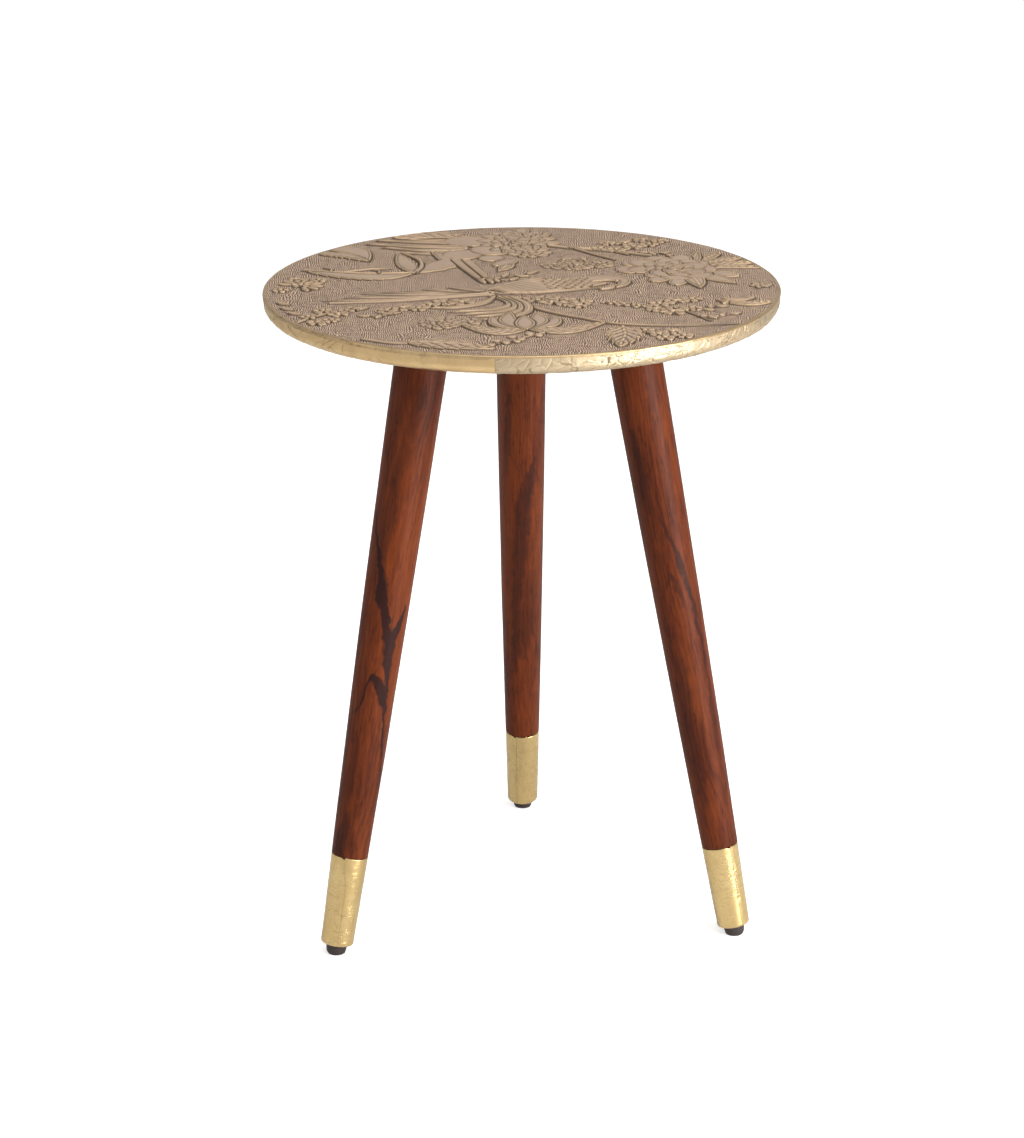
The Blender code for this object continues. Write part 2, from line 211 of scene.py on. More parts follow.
# Tarnish: brown clouds and small spots on brass, as a colour and a roughness
def makeTarnishGroup():
    group, source, sink = newGroup(
        "tarnish",
        [("Vector", "NodeSocketVector", None), ("Clean", "NodeSocketColor", (0.8, 0.6, 0.3, 1)),
         ("Aged", "NodeSocketColor", (0.5, 0.33, 0.14, 1)), ("Scale", "NodeSocketFloat", 60.0),
         ("Amount", "NodeSocketFloat", 0.5), ("Smooth", "NodeSocketFloat", 0.25), ("Dull", "NodeSocketFloat", 0.5)],
        [("Color", "NodeSocketColor"), ("Roughness", "NodeSocketFloat")],
    )
    vector, scale, smooth = (source.outputs[key] for key in ("Vector", "Scale", "Smooth"))
    cloudy = rampNode(group, noiseNode(group, vector, scale, 5.0, 0.6), (0.35, 0.0), (0.75, 1.0))
    spotty = rampNode(group, noiseNode(group, vector, times(group, scale, 9.0), 2.0), (0.6, 0.0), (0.75, 1.0))
    both = plus(group, cloudy, times(group, spotty, 0.5), clamp=True)
    amount = times(group, both, source.outputs["Amount"])
    colour = mixColours(group, amount, source.outputs["Clean"], source.outputs["Aged"])
    spread = minus(group, source.outputs["Dull"], smooth)
    group.links.new(colour, sink.inputs["Color"])
    group.links.new(plus(group, smooth, times(group, both, spread)), sink.inputs["Roughness"])
    return group


# Scratches: thin lines at two slants, where a stretched noise is close to its middle value, gathered in patches
def makeScratchGroup():
    group, source, sink = newGroup(
        "scratches",
        [("Vector", "NodeSocketVector", None), ("Scale", "NodeSocketFloat", 60.0), ("Width", "NodeSocketFloat", 0.012)],
        [("Mask", "NodeSocketFloat")],
    )
    vector = source.outputs["Vector"]
    masks = []
    for turn, stretch in ((0.5, 0.06), (2.1, 0.09)):
        turned = mapped(group, vector, (1.0, stretch, 1.0), (turn, 0.7 * turn, turn))
        noise = noiseNode(group, turned, source.outputs["Scale"], 1.0)
        away = mathNode(group, "ABSOLUTE", minus(group, noise, 0.5))
        masks.append(mathNode(group, "LESS_THAN", away, source.outputs["Width"]))
    patches = mathNode(group, "GREATER_THAN", noiseNode(group, vector, 40.0, 1.0), 0.55)
    group.links.new(times(group, mathNode(group, "MAXIMUM", *masks), patches), sink.inputs["Mask"])
    return group


# Wood: broad clouds, mottling and fine flecks drawn out along the grain, faint growth rings round an off-centre
# pith, short dark pores, and dark heartwood where the piece's own attribute says so
def makeWoodGroup():
    group, source, sink = newGroup(
        "woodFigure",
        [("Vector", "NodeSocketVector", None), ("Pith", "NodeSocketVector", (0, 0, 0)),
         ("Rings", "NodeSocketFloat", 260.0), ("Light", "NodeSocketColor", (0.3, 0.1, 0.04, 1)),
         ("Middle", "NodeSocketColor", (0.18, 0.05, 0.02, 1)), ("Dark", "NodeSocketColor", (0.06, 0.02, 0.01, 1)),
         ("Heart", "NodeSocketFloat", 0.0)],
        [("Color", "NodeSocketColor"), ("Height", "NodeSocketFloat"), ("Roughness", "NodeSocketFloat")],
    )
    place = source.outputs["Vector"]
    dark = source.outputs["Dark"]

    def alongGrain(stretch, scale, detail, roughness=0.55, distortion=0.0):
        return noiseNode(group, mapped(group, place, (1.0, 1.0, stretch)), scale, detail, roughness, distortion)

    # Each pattern's share above or below its middle value
    def swing(pattern, weight):
        return times(group, minus(group, pattern, 0.5), weight)

    clouds = alongGrain(0.30, 26.0, 2.0)
    mottle = alongGrain(0.22, 125.0, 3.0, 0.6, 0.6)
    flecks = alongGrain(0.10, 620.0, 3.0, 0.65)
    streaks = alongGrain(0.035, 240.0, 2.0)
    fromPith = addNode(group, "ShaderNodeVectorMath", {"operation": "SUBTRACT"}, i0=place, i1=source.outputs["Pith"])
    flat = addNode(group, "ShaderNodeVectorMath", {"operation": "MULTIPLY"}, i0=fromPith.outputs[0],
                   i1=(1.0, 1.0, 0.05))
    distance = addNode(group, "ShaderNodeVectorMath", {"operation": "LENGTH"}, i0=flat.outputs[0]).outputs["Value"]
    phase = plus(group, times(group, distance, source.outputs["Rings"]), times(group, clouds, 7.0))
    phase = plus(group, phase, times(group, mottle, 1.6))
    ring = rampNode(group, mathNode(group, "FRACT", phase), (0.0, 0.25), (0.45, 0.6), (0.86, 0.95), (0.97, 0.3),
                    (1.0, 0.25))
    tone = plus(group, times(group, ring, 0.16), times(group, mottle, 0.42))
    tone = plus(group, tone, times(group, flecks, 0.34))
    tone = plus(group, tone, swing(clouds, 0.55))
    tone = plus(group, tone, swing(streaks, 0.22))
    tone = rampNode(group, tone, (0.30, 0.0), (0.66, 1.0))
    base = mixColours(group, tone, source.outputs["Middle"], source.outputs["Light"])
    jagged = plus(group, swing(flecks, 1.1), swing(streaks, 0.7))
    heart = times(group, source.outputs["Heart"], plus(group, jagged, 1.0))
    heart = rampNode(group, heart, (0.12, 0.0), (0.75, 1.0))
    colour = mixColours(group, times(group, heart, 0.88), base, dark)
    pores = addNode(group, "ShaderNodeTexVoronoi", {"feature": "F1"}, Vector=mapped(group, place, (1.0, 1.0, 0.11)),
                    Scale=820.0)
    pore = rampNode(group, pores.outputs["Distance"], (0.12, 1.0), (0.30, 0.0))
    pore = times(group, pore, rampNode(group, mottle, (0.40, 1.0), (0.62, 0.15)))
    colour = mixColours(group, times(group, pore, 0.7), colour, dark)
    group.links.new(colour, sink.inputs["Color"])
    group.links.new(minus(group, times(group, flecks, 0.3), pore), sink.inputs["Height"])
    group.links.new(plus(group, times(group, pore, 0.2), times(group, flecks, 0.12)), sink.inputs["Roughness"])
    return group


tarnish = makeTarnishGroup()
scratches = makeScratchGroup()
woodFigure = makeWoodGroup()


def objectCoordinates(tree):
    return addNode(tree, "ShaderNodeTexCoord").outputs["Object"]


# Coordinates that run up a leg's own axis from its seat
def legCoordinates(tree, leg):
    return addNode(tree, "ShaderNodeMapping", {"vector_type": "TEXTURE"}, Vector=objectCoordinates(tree),
                   Location=tuple(leg["seat"]), Rotation=leg["turn"]).outputs[0]


def addBump(tree, shader, height, distance):
    bump = addNode(tree, "ShaderNodeBump", Height=height, Distance=distance, Strength=1.0)
    tree.links.new(bump.outputs[0], shader.inputs["Normal"])


# The gold colour is a painted highlight for the raised outlines, the crevice colour stands for patina and painted
# shade, and the pale chased colour is a painted highlight on the chased lines' crests
embossedBrass = {
    "ground": (0.42, 0.285, 0.205, 1), "groundDark": (0.23, 0.145, 0.118, 1), "chasedWithPaintedLight": (0.76, 0.57, 0.40, 1),
    "face": (0.56, 0.415, 0.300, 1), "raisedHighlight": (0.86, 0.61, 0.33, 1), "crevicePatinaAndShade": (0.024, 0.015, 0.009, 1),
    "chasePitch": 1.6 * mm, "chaseDepth": 0.22 * mm, "roughness": 0.58, "metallic": 0.75,
    "specular": 0.3,
}


# Embossed sheet: antique brown ground with wavy chased lines, painted pale on their crests and dark in their troughs as
# painted highlight and shade, and darkened round the motifs by painted shade; paler faces on the motifs, a painted gold
# highlight on every raised outline, and black-brown patina and painted shade in the crevices
def makeEmbossedMaterial(name):
    style = embossedBrass
    material, tree, shader = newMaterial(name)
    place = objectCoordinates(tree)
    bands = addNode(tree, "ShaderNodeTexWave", {"wave_type": "BANDS", "bands_direction": "X"}, Vector=place,
                    Scale=0.314 / style["chasePitch"], Distortion=30.0, Detail=3.0)
    bands.inputs["Detail Scale"].default_value = 0.2
    broken = noiseNode(tree, place, 300.0, 2.0, 0.6)
    chase = times(tree, bands.outputs["Fac"], rampNode(tree, broken, (0.3, 0.35), (0.6, 1.0)))
    ground, raisedHighlight, crevicePatinaAndShade, shade = (attributeNode(tree, key) for key in ("ground", "raisedHighlight", "crevicePatinaAndShade", "shade"))
    cloud = rampNode(tree, noiseNode(tree, place, 30.0, 4.0, 0.6), (0.3, 0.0), (0.7, 1.0))
    # random clouds, and painted shade spread round the motifs, darken the ground
    hollow = plus(tree, times(tree, cloud, 0.4), times(tree, shade, 0.6), clamp=True)
    dark = mixColours(tree, hollow, style["ground"], style["groundDark"])
    # the chased lines are painted pale on their crests and dark in their troughs: painted highlight and shade standing
    # in for their relief
    chasedWithPaintedLight = mixColours(tree, rampNode(tree, chase, (0.35, 0.0), (0.75, 0.95)), dark, style["chasedWithPaintedLight"])
    chasedWithPaintedLight = mixColours(tree, rampNode(tree, chase, (0.0, 0.8), (0.33, 0.0)), chasedWithPaintedLight, style["crevicePatinaAndShade"])
    smooth = mixColours(tree, times(tree, cloud, 0.25), style["face"], style["groundDark"])
    colour = mixColours(tree, ground, smooth, chasedWithPaintedLight)
    # a painted gold highlight on the raised outlines, veins and barb crests
    colour = mixColours(tree, times(tree, raisedHighlight, 0.9, clamp=True), colour, style["raisedHighlight"])
    # black-brown in the grooves and on the motifs' forward-facing walls: patina, and painted shade
    colour = mixColours(tree, times(tree, crevicePatinaAndShade, 0.96, clamp=True), colour, style["crevicePatinaAndShade"])
    rough = plus(tree, times(tree, broken, 0.14), style["roughness"] - 0.07)
    tree.links.new(colour, shader.inputs["Base Color"])
    tree.links.new(rough, shader.inputs["Roughness"])
    shader.inputs["Metallic"].default_value = style["metallic"]
    shader.inputs["Specular IOR Level"].default_value = style["specular"]
    addBump(tree, shader, times(tree, chase, ground), style["chaseDepth"])
    return material


# clean and aged are the brass bare and tarnished, tarnish how much of it is aged, smooth and dull its roughness
# where clean and aged, beaten the depth of its bumps, scratch the scratches' width, and mark the attribute that
# darkens it, with its strength
brassFinishes = {
    "rim": {"clean": (0.62, 0.44, 0.235, 1), "aged": (0.36, 0.235, 0.13, 1), "tarnish": 0.7, "smooth": 0.32,
            "dull": 0.5, "beaten": 0.05 * mm, "scratch": 0.01, "mark": ("crack", 0.8)},
    "strip_smooth": {"clean": (0.74, 0.53, 0.27, 1), "aged": (0.50, 0.33, 0.16, 1), "tarnish": 0.5, "smooth": 0.32,
                     "dull": 0.46, "beaten": 0.10 * mm, "scratch": 0.01, "mark": ("crack", 0.8)},
    "strip_crinkled": {"clean": (0.57, 0.455, 0.300, 1), "aged": (0.43, 0.305, 0.175, 1), "tarnish": 0.45,
                       "smooth": 0.42, "dull": 0.56, "beaten": 0.16 * mm, "scratch": 0.01, "mark": ("crack", 0.8)},
    "ferrule": {"clean": (0.70, 0.52, 0.245, 1), "aged": (0.52, 0.34, 0.13, 1), "tarnish": 0.5, "smooth": 0.22,
                "dull": 0.34, "beaten": 0.10 * mm, "scratch": 0.003, "mark": ("seam", 0.06)},
    "pin": {"clean": (0.35, 0.24, 0.12, 1), "aged": (0.15, 0.1, 0.05, 1), "tarnish": 0.6, "smooth": 0.4,
            "dull": 0.6, "beaten": 0.05 * mm, "scratch": 0.01, "mark": None},
}
markBrown = (0.12, 0.075, 0.035, 1)


# Worked brass: tarnish, scratches, a fine beaten surface and dark lines where the mark attribute says; on a leg it
# is also brushed round the leg, deeply enough to draw its highlights out along the leg
def makeBrassMaterial(name, style, leg=None):
    material, tree, shader = newMaterial(name)
    place = legCoordinates(tree, leg) if leg else objectCoordinates(tree)
    age = useGroup(tree, tarnish, Vector=place, Clean=style["clean"], Aged=style["aged"], Scale=45.0,
                   Amount=style["tarnish"], Smooth=style["smooth"], Dull=style["dull"])
    lines = useGroup(tree, scratches, Vector=place, Scale=55.0, Width=style["scratch"]).outputs["Mask"]
    colour = mixColours(tree, times(tree, lines, 0.5), age.outputs["Color"], style["aged"])
    bumps = times(tree, noiseNode(tree, place, 240.0, 3.0, 0.55), 0.3 if leg else 1.0)
    height = minus(tree, bumps, times(tree, lines, 0.2 if leg else 0.5))
    if style["mark"]:
        attribute, strength = style["mark"]
        colour = mixColours(tree, times(tree, attributeNode(tree, attribute), strength), colour, markBrown)
    if leg:
        brushed = noiseNode(tree, mapped(tree, place, (0.008, 0.008, 1.0)), 1500.0, 2.0, 0.6)
        height = plus(tree, height, times(tree, brushed, 2.2))
    tree.links.new(colour, shader.inputs["Base Color"])
    tree.links.new(age.outputs["Roughness"], shader.inputs["Roughness"])
    shader.inputs["Metallic"].default_value = 1.0
    addBump(tree, shader, height, style["beaten"])
    return material


# pith is where the rings centre, off the leg's axis, and rings how many of them a metre holds
legWoods = {
    "right": {"pith": (0.026, -0.012, 0.0), "rings": 330.0},
    "rear": {"pith": (-0.020, -0.024, 0.0), "rings": 300.0},
    "left": {"pith": (0.016, 0.022, 0.0), "rings": 300.0},
}
lacqueredWood = {
    "light": (0.158, 0.032, 0.0060, 1), "middle": (0.056, 0.0102, 0.0030, 1), "dark": (0.013, 0.0048, 0.0050, 1),
    "roughness": 0.42, "specular": 0.13, "depth": 0.08 * mm,
}


# Lacquered hardwood; each leg's coordinates lay the grain along its own axis
def makeWoodMaterial(side, leg):
    style = legWoods[side]
    material, tree, shader = newMaterial(f"legWood_{side}")
    wood = useGroup(tree, woodFigure, Vector=legCoordinates(tree, leg), Pith=style["pith"], Rings=style["rings"],
                    Light=lacqueredWood["light"], Middle=lacqueredWood["middle"], Dark=lacqueredWood["dark"],
                    Heart=attributeNode(tree, "heart"))
    tree.links.new(wood.outputs["Color"], shader.inputs["Base Color"])
    tree.links.new(plus(tree, wood.outputs["Roughness"], lacqueredWood["roughness"]), shader.inputs["Roughness"])
    shader.inputs["Specular IOR Level"].default_value = lacqueredWood["specular"]
    addBump(tree, shader, wood.outputs["Height"], lacqueredWood["depth"])
    return material


plainFinishes = {
    "glideRubber": {"colour": (0.022, 0.015, 0.013, 1), "varied": (0.042, 0.029, 0.025, 1), "roughness": 0.55,
                    "metallic": 0.0, "grain": 600.0, "depth": 0.05 * mm},
    "zincSteel": {"colour": (0.52, 0.53, 0.54, 1), "varied": (0.38, 0.39, 0.40, 1), "roughness": 0.34,
                  "metallic": 1.0, "grain": 180.0, "depth": 0.02 * mm},
    "coreBoard": {"colour": (0.075, 0.045, 0.028, 1), "varied": (0.12, 0.075, 0.045, 1), "roughness": 0.75,
                  "metallic": 0.0, "grain": 420.0, "depth": 0.12 * mm},
}


# A finish whose colour, roughness and bumps all follow one noise
def makePlainMaterial(name):
    style = plainFinishes[name]
    material, tree, shader = newMaterial(name)
    noise = noiseNode(tree, objectCoordinates(tree), style["grain"], 4.0, 0.6)
    tree.links.new(mixColours(tree, noise, style["colour"], style["varied"]), shader.inputs["Base Color"])
    tree.links.new(plus(tree, times(tree, noise, 0.2), style["roughness"] - 0.1), shader.inputs["Roughness"])
    shader.inputs["Metallic"].default_value = style["metallic"]
    addBump(tree, shader, noise, style["depth"])
    return material


# A smooth line through a few points (Catmull-Rom), as count points
def curveThrough(points, count=30):
    knots = np.array(points, float)
    if len(knots) == 2:
        share = np.linspace(0.0, 1.0, count)[:, None]
        return knots[0] * (1 - share) + knots[1] * share
    padded = np.vstack([2 * knots[0] - knots[1], knots, 2 * knots[-1] - knots[-2]])
    place = np.linspace(0.0, len(knots) - 1.000001, count)
    i = np.floor(place).astype(int)
    t = (place - i)[:, None]
    a, b, c, d = padded[i], padded[i + 1], padded[i + 2], padded[i + 3]
    return 0.5 * (2 * b + (c - a) * t + (2 * a - 5 * b + 4 * c - d) * t**2 + (3 * b - a - 3 * c + d) * t**3)


# A blade's half width at each share t of its length, from its root to its tip
bladeShapes = {
    "leaf": lambda t: np.sin(np.pi * t**0.85) ** 0.8,
    "petal": lambda t: np.sqrt(np.clip(np.sin(np.pi * t**1.7), 0, 1)) * (0.35 + 0.65 * t),
    "round": lambda t: np.sqrt(np.clip(1 - (2 * t - 1) ** 2, 0, 1)),
    "feather": lambda t: np.minimum(1.0, 6 * t + 0.3) * np.clip(1 - t, 0, 1) ** 0.55,
    "stem": lambda t: np.clip(1.05 - 0.5 * t, 0, 1),
}


# The embossed picture, in millimetres: at each point of the sheet its height, how far its raised outlines carry a
# painted gold highlight, how far its crevices are darkened for patina and painted shade, and how far it is bare ground
class SheetArt:
    def __init__(self, x, y):
        self.x = x
        self.y = y
        self.height = np.zeros_like(x)
        self.raisedHighlight = np.zeros_like(x)
        self.crevicePatinaAndShade = np.zeros_like(x)
        self.ground = np.ones_like(x)

    # A blade is a strip along a curved spine: its half width is shape(t), its surface is a plateau with a raised
    # rim, a vein and side veins, and a groove runs round it. Later blades lie over earlier ones.
    def blade(self, spine, halfWidth, shape="leaf", rise=0.55, rim=0.20, crown=0.10, vein=0.0,
              barbs=0, slant=1.5, barbDepth=0.18, teeth=0, toothDepth=0.12, groove=0.45, bright=1.0, count=30):
        path = curveThrough(spine, count)
        reach = halfWidth * (1 + toothDepth) + 2.6
        low = path.min(axis=0) - reach
        high = path.max(axis=0) + reach
        near = np.flatnonzero((self.x > low[0]) & (self.x < high[0]) & (self.y > low[1]) & (self.y < high[1]))
        if not near.size:
            return
        px = self.x[near]
        py = self.y[near]
        away = (px[:, None] - path[:, 0]) ** 2 + (py[:, None] - path[:, 1]) ** 2
        nearest = away.argmin(axis=1)
        step = np.gradient(path, axis=0)
        length = np.hypot(step[:, 0], step[:, 1])
        offX = px - path[nearest, 0]
        offY = py - path[nearest, 1]
        tanX = step[nearest, 0] / length[nearest]
        tanY = step[nearest, 1] / length[nearest]
        forward = offX * tanX + offY * tanY
        t = (nearest + forward / length[nearest]) / (count - 1)
        across = -offX * tanY + offY * tanX
        inRange = np.clip(t, 0.0, 1.0)
        width = halfWidth * bladeShapes[shape](inRange)
        if teeth:
            saw = (inRange * teeth) % 1.0
            width = width * (1 - toothDepth * (1 - saw)) + 1e-6
        beyond = (t < 0) | (t > 1)
        distance = np.where(beyond, np.hypot(offX, offY), np.abs(across))
        inside = width - distance
        cover = smoothStep(inside / 0.7 + 0.35)
        v = np.clip(np.abs(across) / np.maximum(width, 0.3), 0, 1)
        ownRim = np.exp(-((inside - 0.7) / 0.5) ** 2)
        # inner: a dark line inside the rim, along the side veins and in the barb troughs, for patina and painted shade
        inner = np.exp(-((inside - 1.85) / 0.45) ** 2) * min(1.0, max(0.0, 0.4 * (halfWidth - 2.6)))
        own = rise + crown * (1 - v * v) * min(halfWidth, 6.0) / 2 + rim * ownRim - 0.15 * inner
        # shine is a painted highlight along the raised rim, on the midrib and on the crests of the barbs
        shine = bright * min(1.0, max(0.6, halfWidth / 5.0)) * np.exp(-((inside - 0.75) / 0.5) ** 2)
        if vein:
            midrib = np.exp(-(across / 0.6) ** 2) * (inRange < 0.93)
            own = own + vein * midrib
            shine = np.maximum(shine, 0.7 * bright * midrib)
            veinSide = np.exp(-((np.abs(across) - 1.4) / 0.45) ** 2) * (inRange < 0.93) * (v < 0.8)
            inner = np.maximum(inner, 0.55 * veinSide)
        if barbs:
            wave = np.sin(2 * np.pi * (barbs * inRange - slant * v)) * smoothStep(inside / 1.2)
            own = own + barbDepth * wave
            shine = np.maximum(shine, 0.3 * bright * np.clip(wave, 0, 1))
            inner = np.maximum(inner, min(1.0, 3.0 * barbDepth) * smoothStep(-2.2 * wave - 1.0) * (v < 0.95))
        # outside: the groove round the blade and its wall, darkened for patina and painted shade
        outside = np.exp(-((inside + 0.5) / 0.78) ** 2)
        trench = groove * outside * (1 - cover)
        self.height[near] = self.height[near] * (1 - cover) + own * cover - trench
        self.raisedHighlight[near] = (self.raisedHighlight[near] * (1 - cover) + shine * cover) * (1 - 0.7 * outside)
        self.crevicePatinaAndShade[near] = np.maximum(self.crevicePatinaAndShade[near] * (1 - cover) + 0.85 * inner * cover, outside)
        self.ground[near] = self.ground[near] * (1 - cover) * (1 - 0.6 * outside)

    # A thin rounded blade; a pointed one narrows to nothing at its tip
    def stem(self, spine, halfWidth=1.2, rise=0.5, pointed=False):
        self.blade(spine, halfWidth, "feather" if pointed else "stem", rise=rise, rim=0.1, crown=0.5, groove=0.4)

    # A small dome
    def berry(self, x, y, radius=1.8, rise=0.45):
        self.blade([(x - radius, y), (x + radius, y)], radius, "round", rise=rise, rim=0.12, crown=0.35, count=8)

    # Petals round a centre, each from near the middle outwards, none quite like the next
    def ring(self, centre, inner, outer, petals, halfWidth, turn=0.0, squash=1.0, rise=0.5, shape="petal", **more):
        vary = np.random.default_rng(int(abs(1000 * centre[0] + 10 * centre[1] + petals)))
        for k in range(petals):
            angle = turn + 2 * math.pi * (k + vary.uniform(-0.16, 0.16)) / petals
            reach = outer * vary.uniform(0.86, 1.08)
            c, s = math.cos(angle), math.sin(angle)
            self.blade([(centre[0] + inner * c, centre[1] + inner * s * squash),
                        (centre[0] + reach * c, centre[1] + reach * s * squash)],
                       halfWidth * vary.uniform(0.85, 1.2), shape, rise=rise, count=14, **more)

    # A small five-petalled blossom
    def blossom(self, x, y, radius=6.0, petals=5, turn=0.3):
        self.ring((x, y), 0.12 * radius, 1.12 * radius, petals, 0.46 * radius, turn, rise=0.55, crown=0.1)
        self.berry(x, y, 0.2 * radius + 0.5, 0.85)

    # A twig with leaves that turn out to either side in turn, and one at its tip
    def twig(self, spine, leaves=3, leafLength=9.0, halfWidth=2.6):
        self.stem(spine, 0.9)
        path = curveThrough(spine, 20)
        for k in range(leaves):
            i = int(4 + 15 * k / (leaves - 1))
            here = path[i]
            go = here - path[i - 2]
            heading = math.atan2(go[1], go[0]) + (0.75 if k % 2 else -0.75) * (0.2 if k == leaves - 1 else 1)
            tip = here + leafLength * np.array([math.cos(heading), math.sin(heading)])
            self.blade([tuple(here), tuple(tip)], halfWidth, "leaf", vein=0.15, count=14)


# Long-tailed bird: tail feathers, body, barbed wing, scaled shoulder, head and beak
def drawBird(art):
    root = (-20.0, -17.0)
    tips = [(-58, -1), (-76, -8), (-92, -12), (-108, -15), (-122, -20), (-136, -31), (-152, -41)]
    for k, tip in enumerate(tips):
        middle = (0.45 * root[0] + 0.55 * tip[0], 0.45 * root[1] + 0.55 * tip[1] - 1.5 - 0.9 * k)
        art.blade([root, middle, tip], 1.8, "feather", rise=0.5, rim=0.15, groove=0.6, bright=0.6)
    art.blade([(-20, -23), (-60, -33), (-100, -43), (-146, -48)], 1.8, "stem", rise=0.6, rim=0.1, bright=0.8)
    art.blade([(-28, -16), (4, -6), (40, 4), (66, 8)], 13, "leaf", rise=0.6, crown=0.08, rim=0.2)
    art.blade([(36, 12), (60, 22), (78, 18), (78, 4), (68, -8)], 8.5, "feather", rise=0.75, crown=0.1, rim=0.25)
    for k in range(8):
        art.blade([(18 + 2.4 * k, 26 - 4.8 * k), (-4 + 2.4 * k, 12 - 4.2 * k), (-28 + 2.6 * k, -12 - 1.6 * k)], 2.4,
                  "leaf", rise=0.70 + 0.03 * k, rim=0.15, bright=0.6)
    for row in range(5):
        for k in range(6):
            x = 52 - 6.6 * row - 0.8 * k + 3.1 * (k % 2)
            y = -2 + 5.0 * k - 0.8 * row
            art.blade([(x, y), (x - 5.6, y - 1.8)], 2.7, "round", rise=0.85, rim=0.2, crown=0.05, bright=0.8, count=10)
    art.stem([(-20, -23), (14, -20), (36, -14), (52, -8), (66, -9)], 1.1, 1.0, pointed=True)
    art.blade([(72, -2), (68, -7), (60, -13)], 2.4, "leaf", rise=0.95, count=12)
    art.berry(74, 13, 1.6, 1.1)


# Peony: rings of round petals from the outside in, each ring (share of the radius, petals, half width) higher
def drawPeony(art, centre, radius, layers, turn=0.0, squash=1.0):
    for layer, (share, petals, width) in enumerate(layers):
        art.ring(centre, max(0.0, share - 2.3 * width) * radius, share * radius, petals, width * radius,
                 turn + 0.4 * layer, squash, 0.45 + 0.22 * layer, "round")


# Chrysanthemum: short round petals in four rings
def drawChrysanthemum(art, centre, radius):
    drawPeony(art, centre, radius, ((1.0, 13, 0.22), (0.72, 10, 0.20), (0.46, 7, 0.17), (0.22, 4, 0.13)), 0.2)
    art.berry(centre[0], centre[1], 0.10 * radius, 1.3)


